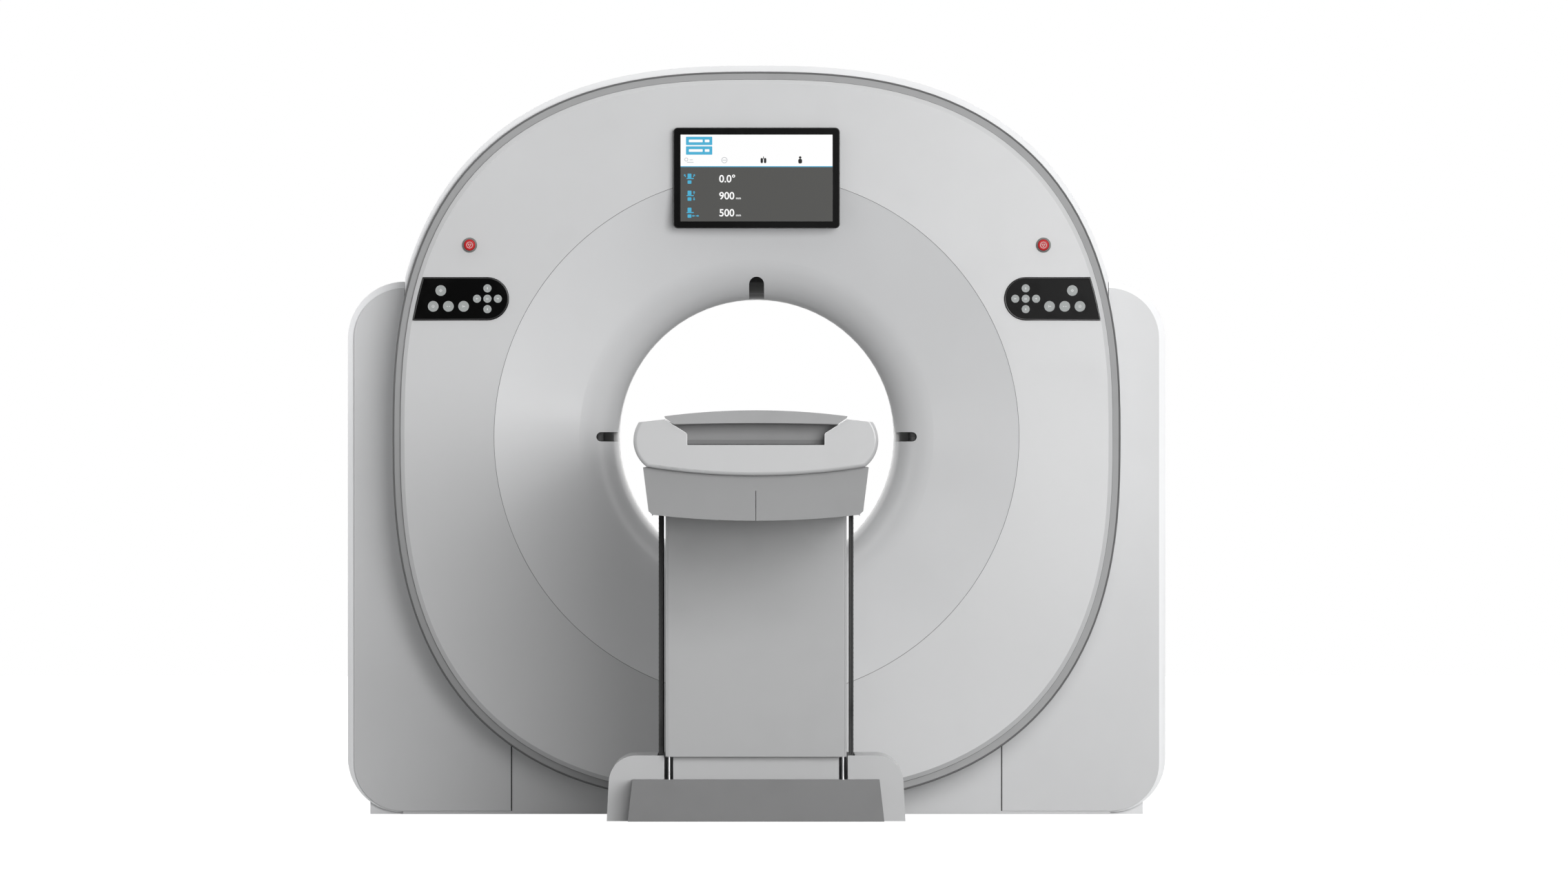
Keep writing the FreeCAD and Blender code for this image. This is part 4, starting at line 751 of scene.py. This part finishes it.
# %% Small signs on the display
def scaled_bars(x, z, size, rows):
    """Rounded bars from (across, up, width, height, corner) rows, all in sign sizes."""
    return [bar(x + size * a, z + size * b, size * width, size * height, size * corner)
            for a, b, width, height, corner in rows]


def hoop(x, z, outside, inside, count=24):
    return band(disc(x, z, outside, count), disc(x, z, inside, count))


SIGN_ROW = 0.295
size = 0.035 * screen_h
(x1, z), (x2, _), (x3, _), (x4, _) = (on_screen(a, SIGN_ROW) for a in (0.055, 0.29, 0.545, 0.785))
pale = [hoop(x1 - size * 0.7, z + size * 0.2, size * 0.62, size * 0.42),
        hoop(x2, z, size, size * 0.78)]
pale += scaled_bars(x1, z, size, ((0.6, -0.7, 2.2, 0.22, 0.1), (0.9, 0.1, 1.1, 0.22, 0.1)))
pale += scaled_bars(x2, z, size, ((0, 0, 1.3, 0.22, 0.1),))
screen_mark("screen_pale_signs", pale, 2, "lit_pale")
dark = scaled_bars(x3, z, size, ((-0.55, -0.15, 0.8, 1.7, 0.38), (0.55, -0.15, 0.8, 1.7, 0.38),
                                 (0, 0.75, 0.24, 0.9, 0.1)))
dark += scaled_bars(x4, z, size, ((0, -0.35, 1.25, 1.5, 0.45),))
dark.append(disc(x4, z + size * 0.85, size * 0.42))
screen_mark("screen_dark_signs", dark, 2, "lit_black")

ROWS = (0.505, 0.70, 0.895)
ARROWS = (((-0.95, 0.6, radians(30)), (0.95, 0.6, radians(-30))),
          ((0.95, 0.6, 0.0), (0.95, -0.7, pi)),
          ((0.85, -0.7, pi / 2), (1.65, -0.7, -pi / 2)))
signs = []
step = 0.055 * screen_h
for down, pair in zip(ROWS, ARROWS):
    x, z = on_screen(0.062, down)
    signs += scaled_bars(x, z, step, ((0, 0.55, 0.8, 0.9, 0.12), (0, -0.75, 0.8, 0.7, 0.12),
                                      (0.15, -0.02, 1.5, 0.2, 0.08)))
    signs += [arrow(x + step * a, z + step * b, step * 0.34, angle) for a, b, angle in pair]
screen_mark("screen_motion_signs", signs, 2, "lit_cyan")
print("signs", len(pale), len(dark), len(signs))


# %% Readings
def text_mesh(name, words):
    """Words as (text, x, z, height), flat letters made one upright mesh."""
    joined = bmesh.new()
    for text, x, z, height in words:
        curve = bpy.data.curves.new(name, "FONT")
        curve.body, curve.size = text, height / 0.73
        curve.extrude, curve.offset = 0.06 * MM, height * 0.022
        letters = bpy.data.objects.new(name, curve)
        bpy.context.scene.collection.objects.link(letters)
        solid = bpy.data.meshes.new_from_object(
            letters.evaluated_get(bpy.context.evaluated_depsgraph_get()))
        solid.transform(Matrix.Translation((x, glass_y - 0.30 * MM, z))
                        @ Matrix.Rotation(pi / 2, 4, "X"))
        joined.from_mesh(solid)
        bpy.data.objects.remove(letters)
    bmesh.ops.remove_doubles(joined, verts=joined.verts, dist=0.002 * MM)
    return mesh_from(name, joined)


READINGS = (("0.0°", None), ("900", "mm"), ("500", "mm"))
tall, small = 0.086 * screen_h, 0.028 * screen_h
words = []
for down, (number, unit) in zip(ROWS, READINGS):
    x, z = on_screen(0.255, down)
    words.append((number, x, z - tall / 2, tall))
    if unit:
        words.append((unit, on_screen(0.365, down)[0], z - tall / 2, small))
settle("screen_readings", text_mesh("screen_readings", words), "lit_white", "gantry")
print("readings", len(words), "words,", len(made), "pieces so far")

# %% [markdown]
# ## Rims of the black panels
# The key panels and the display stand a few millimetres proud, and their polished edges pick
# up a thin line of light. A glossy black bead along each front edge gives that line.

# %% Panel rims
def inset_loop(points, distance):
    """A closed upright outline moved inwards by a distance."""
    area = sum(a.x * b.z - b.x * a.z for a, b in zip(points, points[1:] + points[:1]))
    inward = 1.0 if area > 0 else -1.0
    moved = []
    for before, here, after in zip(points[-1:] + points[:-1], points, points[1:] + points[:1]):
        run = (here - before).normalized() + (after - here).normalized()
        side = Vector((-run.z, 0, run.x)).normalized() * inward
        moved.append(here + side * distance)
    return moved


panel_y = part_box("key_left_1")[0].y + 2.5 * MM
panel_loops = [points for points in outlines("control_bezels", panel_y)
               if max(p.x for p in points) - min(p.x for p in points) > 0.1]
print("panel outlines", len(panel_loops), "depth", round(panel_y, 4))
bead("panel_rims", [(at_depth(inset_loop(points, 2.6 * MM), panel_y + 1.7 * MM), True)
                    for points in panel_loops],
     2.6 * MM, "rim_black", "gantry", "panel_black", step=2.5 * MM, sides=16)
display_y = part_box("display_housing")[0].y
display_loops = outlines("display_housing")
bead("display_rim", [(at_depth(display_loops[0], display_y + 1.4 * MM), True)], 1.5 * MM,
     "rim_black", "gantry", "display_black", step=3 * MM, sides=10)
bead("screen_edge", [(at_depth(display_loops[1], display_y + 0.9 * MM), True)], 0.7 * MM,
     "display_black", "gantry", "display_black", step=3 * MM)

# %% [markdown]
# ## Keys and stop buttons
# Each key has a pale moulded rim and a small printed sign: four arrows round a bed sign, and
# above the row a lamp sign for the laser lines. Rim and sign ride on the key itself, so they
# go in with it. A stop button is a red mushroom in a grey collar, with a ring and a triangle
# pressed into it.

# %% Turned rings and key faces
def turned(name, profile, x, z, finish, body, count=48):
    """Closed ring turned round the Y axis from (radius, y) points."""
    shape = bmesh.new()
    tyre(shape, [(disc(x, z, r, count), y) for r, y in profile])
    mesh = mesh_from(name, shape)
    mesh.shade_smooth()
    return settle(name, mesh, finish, body)


def key_sign(number, x, z, inward):
    """Printed sign of a key; inward is +1 where the middle of the gantry lies at +X."""
    size = 3.1 * MM
    if number == 1:
        return [*scaled_bars(x, z, size, ((0, -0.35, 2.2, 0.35, 0.1),
                                          (0.3, 0.25, 1.2, 0.4, 0.15))),
                disc(x - size * 0.75, z + size * 0.3, size * 0.3)]
    if number in (2, 3, 4, 5):
        angle = {2: 0.0, 3: -inward * pi / 2, 4: pi, 5: inward * pi / 2}[number]
        return [arrow(x, z, size, angle)]
    size = 4.3 * MM
    if number == 6:
        return [*scaled_bars(x, z, size, ((-0.55, 0, 0.3, 1.5, 0.1),)),
                arrow(x + size * 0.35, z, size * 0.7, pi / 2)]
    if number == 7:
        return [arrow(x - size * 0.5, z, size * 0.55, pi / 2, 0.5),
                arrow(x + size * 0.6, z, size * 0.55, -pi / 2, 0.5)]
    edge = hoop(x, z, size * 0.85, size * 0.6) if number == 8 else hoop(x, z, size, size * 0.6, 4)
    return [edge, disc(x, z, size * 0.25)]


def middle_of(node):
    """Middle x and z, front y and half width of a CAD part."""
    low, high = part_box(node)
    return (low.x + high.x) / 2, (low.z + high.z) / 2, low.y, (high.x - low.x) / 2


SIDES = ((-1, "left"), (1, "right"))
RIM = ((0.1, 1.2), (0.1, 0.1), (0.6, -0.45), (1.3, -0.45), (1.9, 0.2), (1.9, 1.2))
COLLAR = ((14.4, 0), (14.4, 6.4), (15.2, 7.0), (17.4, 6.4), (18.6, 4.4), (19.0, 0))
for sign, side in SIDES:
    for number in range(1, 10):
        key = f"key_{side}_{number}"
        x, z, y, radius = middle_of(key)
        rim = [(radius - a * MM, y + b * MM) for a, b in RIM]
        turned(f"{key}_rim", rim, x, z, "key_rim", key, 32)
        mark(f"{key}_sign", key_sign(number, x, z, -sign), y - 0.1 * MM, "print_and_highlight_white", key)

for _, side in SIDES:
    x, z, y, _ = middle_of(f"estop_{side}")
    turned(f"stop_collar_{side}", [(r * MM, FACE_Y - out * MM) for r, out in COLLAR], x, z,
           "collar_grey", "gantry")
    corners = [(x + r * MM * cos(a), z + r * MM * sin(a))
               for r in (5.6, 4.0) for a in (radians(-90), radians(30), radians(150))]
    mark(f"stop_sign_{side}", [hoop(x, z, 8.2 * MM, 7.2 * MM, 36), band(corners[:3], corners[3:])],
         y - 0.1 * MM, "print_and_highlight_white", f"estop_{side}")
print("pieces so far", len(made))

# %% [markdown]
# ## The end of the table
# The grip is a soft-touch bar: a rounded roll runs along its lower edge, its dark grey partly
# the strip's own colour and partly painted shade under the grip. Under it the board ends in a
# moulded grey cap, and a rubber lip on the table frame wipes its underside and hides the
# rollers; the dark greys of cap and lip are partly painted shade of the recess. The cut in the
# white end cap has a softened edge: a rounded bead in a whiter paint than the cap, so the thin
# light line along it is partly painted highlight.

# %% Grip roll, board end, wiper lip and cut edge
grip_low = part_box("cradle_grip")[0]
cap_low, cap_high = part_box("end_cap")
CUT_TOP, CUT_LOW = 0.227, 0.171
cut_mid_z, cut_floor_z = cap_high.z - 35.4 * MM, cap_high.z - 63.4 * MM

grip_front = outlines("cradle_grip")[0]
under = sorted((p for p in grip_front if p.z < grip_low.z + 3.5 * MM), key=lambda p: p.x)
roll_r = 5.5 * MM
# The roll's dark grey is partly painted shade under the grip, partly the strip's own colour.
bead("grip_roll_shaded", [([(p.x, grip_low.y + roll_r, p.z + 2.4 * MM) for p in under], False)],
     roll_r, "grip_roll_shaded", "cradle", "grip_grey", step=5 * MM, sides=14)

# A rounded bead, whiter than the end cap, along each side of the cut: partly painted highlight.
cut_line = ((CUT_TOP, cap_high.z), (CUT_LOW, cut_mid_z), (CUT_LOW, cut_floor_z))
for sign, side in SIDES:
    run = [(sign * x, cap_low.y + 0.9 * MM, z) for x, z in cut_line]
    bead(f"cut_edge_{side}", [(run, False)], 1.1 * MM, "print_and_highlight_white", "table_top", "table_white",
         step=5 * MM)
strip = [(sign * (CUT_LOW - 2 * MM), cap_low.y + 2 * MM, cut_floor_z + 0.6 * MM)
         for sign, _ in SIDES]
bead("cut_floor_strip", [(strip, False)], 1.3 * MM, "skirt_black", "table_top",
     "support_alloy", step=20 * MM)


def block(name, low, high, round_off, finish, body):
    """A bar with rounded edges between two corners."""
    shape = bmesh.new()
    bmesh.ops.create_cube(shape, size=1.0)
    span = Vector(high) - Vector(low)
    for vert in shape.verts:
        vert.co = Vector(low) + (vert.co + Vector((0.5, 0.5, 0.5))) * span
    bmesh.ops.bevel(shape, geom=shape.edges[:], offset=round_off, segments=3, profile=0.5,
                    affect="EDGES")
    return settle(name, mesh_from(name, shape), finish, body)


board_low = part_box("cradle")[0]
# The lip's dark grey is partly painted shade of the recess under the grip.
block("board_wiper_lip", (-CUT_LOW + 1 * MM, board_low.y - 5.4 * MM, cut_floor_z - 0.3 * MM),
      (CUT_LOW - 1 * MM, board_low.y - 3.4 * MM, board_low.z + 3.6 * MM), 0.3 * MM, "lip_rubber_shaded",
      "table_top")

# The end cap's dark grey is partly painted shade of the recess under the grip.
board_end = outlines("cradle")[0]
rim_order = convex_hull_2d([(p.x, p.z) for p in board_end])
cap_shape = [(board_end[i].x * 0.996, board_end[i].z) for i in rim_order]
end_mesh = flat_mesh("board_end_cap", [cap_shape], board_low.y - 3.0 * MM, 2.9 * MM)
settle("board_end_cap", end_mesh, "board_cap_shaded", "cradle")
print("table end", made[-6:])

# %% [markdown]
# ## Strips and seams of the table and its base
# The column's front panel is edged by two slim rounded strips, and dark rubber closes the
# joints: along the top of the foot box, and at both seams of the gantry's base. A kick strip
# fills the gap under the base plates. They are straight beads and rounded blocks.

# %% Strips, seams and kick strips
column_low, column_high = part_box("column_panels")
for sign, side in SIDES:
    run = [(sign * (column_high.x - 3.2 * MM), column_low.y + 2.6 * MM, z)
           for z in (column_low.z + 2 * MM, column_high.z - 2 * MM)]
    bead(f"column_strip_{side}", [(run, False)], 3.2 * MM, "column_paint", "table_mid",
         "column_paint", step=40 * MM, sides=16)

foot_low, foot_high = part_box("foot_box")
run = [(x, foot_low.y + 1.0 * MM, foot_high.z - 0.9 * MM)
       for x in (foot_low.x + 14 * MM, foot_high.x - 14 * MM)]
bead("foot_box_seam", [(run, False)], 1.0 * MM, "gasket_rubber", "root", "foot_grey",
     step=30 * MM)

BASE_SEAM_X, BASE_SEAM_TOP, KICK_HALF = 0.6235, 0.177, 0.90
plate_low, plate_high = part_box("wing_plates")
FACES = ((plate_low.y, -1, "front"), (plate_high.y, 1, "rear"))
seam_lines = [([(sign * BASE_SEAM_X, face + out * 0.2 * MM, z)
                for z in (plate_low.z, BASE_SEAM_TOP)], False)
              for sign, _ in SIDES for face, out, _ in FACES]
bead("base_seam_gaskets", seam_lines, 1.5 * MM, "skirt_black", "root", "stand_paint",
     step=20 * MM)
for face, out, word in FACES:
    near, far = sorted((face - out * 1.0 * MM, face - out * 6.0 * MM))
    block(f"kick_strip_{word}", (-KICK_HALF, near, 0.2 * MM),
          (KICK_HALF, far, plate_low.z - 0.3 * MM), 0.8 * MM, "stand_paint", "root")
print("strips", made[-6:])

# %% [markdown]
# ## The mattress
# A scanner's mattress is a thin foam pad in wipe-clean vinyl, welted round its edge and sewn
# across in two places so that it follows the board. The foam presses the cover out between
# the seams. That could be sculpted, but a short cloth simulation does it the way the real
# pad does: the underside, the welt and the seams are pinned, air pressure lifts the rest, and
# no point may rise by more than a few millimetres.

# %% Pad shape
pad_low, pad_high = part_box("mattress")
pad_section = outlines("mattress")[0]
EDGE_ROUND = 9 * MM
SEAM_DIP, START_DROP, RISE_LIMIT = 4.0 * MM, 2.5 * MM, 3.0 * MM
SEAM_AT, CLOTH_FRAMES = (0.30, 0.64), 20


def section_height(x, upper):
    """Height of the pad's outline over x, on its upper or its lower side."""
    hits = []
    for a, b in zip(pad_section, pad_section[1:] + pad_section[:1]):
        if min(a.x, b.x) <= x <= max(a.x, b.x) and abs(a.x - b.x) > 1e-7:
            hits.append(a.z + (b.z - a.z) * (x - a.x) / (b.x - a.x))
    return max(hits) if upper else min(hits)


def border_height(x):
    """Height of the pad's edge, a little under half way up."""
    upper, lower = section_height(x, True), section_height(x, False)
    return lower + 0.45 * (upper - lower)


def stations(low, high, pitch, dense_at=()):
    """Places from low to high, close together at both ends and at the seams."""
    near_edge = [0, 1.2 * MM, 3 * MM, 5.5 * MM, 9 * MM, 14 * MM]
    places = [low + d for d in near_edge] + [high - d for d in near_edge]
    for seam in dense_at:
        places += [seam + s * d for s in (-1, 1) for d in (0, 3 * MM, 8 * MM)]
    count = int((high - low) / pitch)
    for i in range(1, count):
        place = low + (high - low) * i / count
        if all(abs(place - other) > pitch * 0.6 for other in places):
            places.append(place)
    return sorted(set(round(place, 6) for place in places))


inset = 1.0 * MM
x_low, x_high = pad_low.x + inset, pad_high.x - inset
y_low, y_high = pad_low.y + inset, pad_high.y - inset
seams = [y_low + share * (y_high - y_low) for share in SEAM_AT]
xs = stations(x_low, x_high, 16 * MM)
ys = stations(y_low, y_high, 16 * MM, seams)


def fullness(x, y):
    near = min(x - x_low, x_high - x, y - y_low, y_high - y)
    share = min(max(near, 0.0) / EDGE_ROUND, 1.0)
    return (1 - (1 - share) ** 2) ** 0.5


print("pad grid", len(xs), "by", len(ys))


# %% Pad mesh and its cloth run
def pad_mesh():
    """The pad as a closed grid, and the points that the cloth run holds."""
    shape = bmesh.new()
    grid = {}
    pinned = set()
    for i, x in enumerate(xs):
        upper, lower, middle = section_height(x, True), section_height(x, False), border_height(x)
        for j, y in enumerate(ys):
            full = fullness(x, y)
            seam = min(abs(y - s) for s in seams)
            dip = SEAM_DIP * max(0.0, 1 - seam / (6 * MM)) + START_DROP
            top = middle + (upper - middle - min(dip, 0.6 * (upper - middle))) * full
            grid[i, j, 1] = shape.verts.new((x, y, top))
            if full == 0:
                grid[i, j, 0] = grid[i, j, 1]
                pinned.add(grid[i, j, 1])
                continue
            grid[i, j, 0] = shape.verts.new((x, y, middle + (lower + 0.3 * MM - middle) * full))
            pinned.add(grid[i, j, 0])
            if seam < 1 * MM:
                pinned.add(grid[i, j, 1])
    for i in range(len(xs) - 1):
        for j in range(len(ys) - 1):
            for level in (0, 1):
                corners = [grid[i + a, j + b, level] for a, b in ((0, 0), (1, 0), (1, 1), (0, 1))]
                shape.faces.new(corners if level else corners[::-1])
    shape.verts.index_update()
    held = sorted(vert.index for vert in pinned)
    return mesh_from("cradle_pad", shape), held


def blow_up(piece, held):
    """Short cloth simulation with pressure; the result goes into the mesh."""
    group = piece.vertex_groups.new(name="sewn")
    group.add(held, 1.0, "REPLACE")
    start = [vert.co.copy() for vert in piece.data.vertices]
    cloth = piece.modifiers.new("cloth", "CLOTH")
    cloth.settings.vertex_group_mass = "sewn"
    cloth.settings.use_pressure = True
    cloth.settings.uniform_pressure_force = 4.0
    cloth.settings.effector_weights.gravity = 0.0
    cloth.settings.quality = 4
    cloth.point_cache.frame_start, cloth.point_cache.frame_end = 1, CLOTH_FRAMES
    scene = bpy.context.scene
    for frame_number in range(1, CLOTH_FRAMES + 1):
        scene.frame_set(frame_number)
    solved = piece.evaluated_get(bpy.context.evaluated_depsgraph_get())
    moved = [vert.co.copy() for vert in solved.data.vertices]
    piece.modifiers.remove(cloth)
    scene.frame_set(1)
    for vert, was, now in zip(piece.data.vertices, start, moved):
        shift = now - was
        if shift.length > RISE_LIMIT:
            shift *= RISE_LIMIT / shift.length
        vert.co = was + shift
    piece.vertex_groups.clear()


mesh, held = pad_mesh()
mesh.shade_smooth()
pad = settle("cradle_pad", mesh, "grip_grey", "cradle")
blow_up(pad, held)
top_rise = max(vert.co.z for vert in pad.data.vertices) - pad_high.z
finer = pad.modifiers.new("finer", "SUBSURF")
finer.levels = finer.render_levels = 1
print("pad", len(pad.data.vertices), "points, its top past its space", round(top_rise / MM, 1))

# %% Vinyl and welt
woven("pad_vinyl", (0.045, 0.055, 0.075), (0.030, 0.037, 0.052), 5200.0, 0.00006, (0.42, 0.55),
      sheen=0.15)
skinned("pad_thread", (0.16, 0.18, 0.22), (0.12, 0.14, 0.17), (0.6, 0.75), peel=2500.0)
dress(pad, finishes["pad_vinyl"])
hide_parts("mattress")

inner_xs, inner_ys = xs[3:-3], ys[3:-3]
border = [(x, y_low) for x in inner_xs] + [(x_high, y) for y in inner_ys]
border += [(x, y_high) for x in reversed(inner_xs)] + [(x_low, y) for y in reversed(inner_ys)]
bead("cradle_pad_welt", [([(x, y, border_height(x)) for x, y in border], True)], 1.7 * MM,
     "pad_vinyl", "cradle", "pad_cover", step=6 * MM)
print("welt", len(border), "points")

# %% Stitches
stitch_tree, stitch_in, stitch_out = geometry_tree(
    "stitches", [("Pitch", LENGTH, 0.006), ("Length", LENGTH, 0.0036),
                 ("Thickness", LENGTH, 0.0007), ("Material", STUFF, None)])
line = add(stitch_tree, "GeometryNodeMeshToCurve", {"Mesh": stitch_in["Geometry"]})
points = add(stitch_tree, "GeometryNodeCurveToPoints",
             {"Curve": line.outputs[0], "Length": stitch_in["Pitch"]}, mode="LENGTH").outputs
thread = add(stitch_tree, "GeometryNodeMeshUVSphere", {"Segments": 6, "Rings": 4, "Radius": 0.5})
oval = add(stitch_tree, "ShaderNodeCombineXYZ",
           {"X": stitch_in["Thickness"], "Y": stitch_in["Thickness"], "Z": stitch_in["Length"]})
along = add(stitch_tree, "FunctionNodeAlignRotationToVector", {"Vector": points["Tangent"]},
            axis="Z")
placed = add(stitch_tree, "GeometryNodeInstanceOnPoints",
             {"Points": points["Points"], "Instance": thread.outputs["Mesh"],
              "Rotation": along.outputs["Rotation"], "Scale": oval.outputs[0]})
finish_tree(stitch_tree, placed.outputs[0], stitch_in["Material"], stitch_out[0])


def pad_top(x, y):
    """Height of the finished pad's top at the nearest grid point."""
    return min((vert.co for vert in pad.data.vertices),
               key=lambda co: (co.x - x) ** 2 + (co.y - y) ** 2 - co.z * 0.001).z


stitch_lines = [([(x, y, pad_top(x, y) + 0.1 * MM) for x in xs[5:-5]], False)
                for seam in seams for y in (seam - 3 * MM, seam + 3 * MM)]
grow("cradle_pad_stitches", lines_mesh("stitches", stitch_lines), stitch_tree, "pad_thread",
     "cradle", "pad_cover", Pitch=6 * MM, Length=3.6 * MM, Thickness=0.8 * MM)
print("pad pieces", made[-3:])

# %% [markdown]
# ## Ribs, filters and screws
# Three things repeat in rows. The black rubber skirts beside the column have fine ribs across
# them, the air slots of the side covers have a wire filter behind them, and cap screws hold
# the covers on. A Geometry Nodes tree puts one small shape on every point of a row: a bar for
# the ribs and wires, and a cylinder with a six-sided hole cut in it for the screws.

# %% Rows of bars
row_tree, row_in, row_out = geometry_tree(
    "row_of_bars", [("Size", VECTOR, (0.01, 0.01, 0.01)), ("Material", STUFF, None)])
cube = add(row_tree, "GeometryNodeMeshCube", {"Size": row_in["Size"]})
placed = add(row_tree, "GeometryNodeInstanceOnPoints",
             {"Points": row_in["Geometry"], "Instance": cube.outputs["Mesh"]})
finish_tree(row_tree, placed.outputs[0], row_in["Material"], row_out[0])


def points_mesh(name, places):
    mesh = bpy.data.meshes.new(name)
    mesh.from_pydata([tuple(place) for place in places], [], [])
    return mesh


skirt_low, skirt_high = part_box("column_skirts")
RIB_PITCH, RIB_SIZE = 12 * MM, 2.2 * MM
rib_count = int((skirt_high.z - skirt_low.z - 20 * MM) / RIB_PITCH)
ribs = [(sign * (skirt_high.x - 0.1 * MM), (skirt_low.y + skirt_high.y) / 2,
         skirt_low.z + 14 * MM + i * RIB_PITCH) for sign, _ in SIDES for i in range(rib_count)]
grow("column_skirt_ribs", points_mesh("ribs", ribs), row_tree, "skirt_black", "table_mid",
     "skirt_black", smooth=False,
     Size=(1.0 * MM, skirt_high.y - skirt_low.y - 12 * MM, RIB_SIZE))

VENT_LOW, VENT_PITCH, VENT_ROWS, VENT_HALF = 0.170, 14.6 * MM, 4, 0.110
WIRE, WIRE_PITCH, FILTER_DEPTH, FILTER_HEIGHT = 0.8 * MM, 3 * MM, 7.4 * MM, 58 * MM
UPRIGHTS, CROSSERS = range(-36, 37), range(-9, 10)
filter_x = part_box("side_covers")[1].x - FILTER_DEPTH
vent_mid = VENT_LOW + (VENT_ROWS - 1) * VENT_PITCH / 2
wires = [(sign * filter_x, i * WIRE_PITCH, vent_mid) for sign, _ in SIDES for i in UPRIGHTS]
cross_wires = [(sign * filter_x, 0.0, vent_mid + i * WIRE_PITCH)
               for sign, _ in SIDES for i in CROSSERS]
for name, places, size in (("vent_filter_wires", wires, (WIRE, WIRE, FILTER_HEIGHT)),
                           ("vent_filter_cross_wires", cross_wires, (WIRE, 2 * VENT_HALF, WIRE))):
    grow(name, points_mesh(name, places), row_tree, "gasket_rubber", "root", "cover_paint",
         smooth=False, Size=size)
print("ribs and filters", made[-3:])

# %% Cap screws
SOCKET_SHARE, SOCKET_RAISE = 0.52, 0.45
screw_tree, screw_in, screw_out = geometry_tree(
    "cap_screws", [("Radius", LENGTH, 0.004), ("Height", LENGTH, 0.0016),
                   ("Facing", VECTOR, (0, -1, 0)), ("Material", STUFF, None)])
radius, height = screw_in["Radius"], screw_in["Height"]
head = add(screw_tree, "GeometryNodeMeshCylinder",
           {"Vertices": 20, "Radius": radius, "Depth": height})
socket = add(screw_tree, "GeometryNodeMeshCylinder",
             {"Vertices": 6, "Radius": maths(screw_tree, "MULTIPLY", radius, SOCKET_SHARE),
              "Depth": height})
raised = add(screw_tree, "ShaderNodeCombineXYZ",
             {"Z": maths(screw_tree, "MULTIPLY", height, SOCKET_RAISE)})
lifted = add(screw_tree, "GeometryNodeTransform",
             {"Geometry": socket.outputs["Mesh"], "Translation": raised.outputs[0]})
cut = add(screw_tree, "GeometryNodeMeshBoolean",
          {"Mesh 1": head.outputs["Mesh"], "Mesh 2": lifted.outputs[0]}, operation="DIFFERENCE")
turn = add(screw_tree, "FunctionNodeAlignRotationToVector", {"Vector": screw_in["Facing"]},
           axis="Z")
placed = add(screw_tree, "GeometryNodeInstanceOnPoints",
             {"Points": screw_in["Geometry"], "Instance": cut.outputs["Mesh"],
              "Rotation": turn.outputs["Rotation"]})
finish_tree(screw_tree, placed.outputs[0], screw_in["Material"], screw_out[0])


def screws(name, places, facing, body, radius=4.5 * MM, height=1.6 * MM):
    return grow(name, points_mesh(name, places), screw_tree, "machined_steel", body,
                "machined_steel", smooth=False, Radius=radius, Height=height, Facing=facing)


REAR_SCREWS = ((0.985, 1.24), (0.985, 0.72), (0.985, 0.16), (0.66, 0.05), (0.58, 0.05))
rear_places = [(sign * x, plate_high.y + 0.3 * MM, z) for sign, _ in SIDES for x, z in REAR_SCREWS]
screws("rear_plate_screws", rear_places, (0, 1, 0), "root")


def side_places(node, sign, count, end_gap, height, sink=0.5 * MM):
    """Places along one side of a CAD part, found by rays from far out."""
    low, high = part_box(node)
    places = []
    for i in range(count):
        y = low.y + end_gap + i * (high.y - low.y - 2 * end_gap) / (count - 1)
        hit, place, _, _ = parts[node].ray_cast((sign * 2.0, y, low.z + height), (-sign, 0, 0))
        if hit:
            places.append((place.x - sign * sink, place.y, place.z))
    return places


for label, node, count, end_gap, up, body in (
        ("hump", "hump_cover", 4, 0.12, 0.03, "root"),
        ("housing", "housing_halves", 7, 0.10, 0.016, "table_top")):
    for sign, side in SIDES:
        screws(f"{label}_screws_{side}", side_places(node, sign, count, end_gap, up),
               (sign, 0, 0), body, 3.5 * MM)
print("screws", made[-5:])
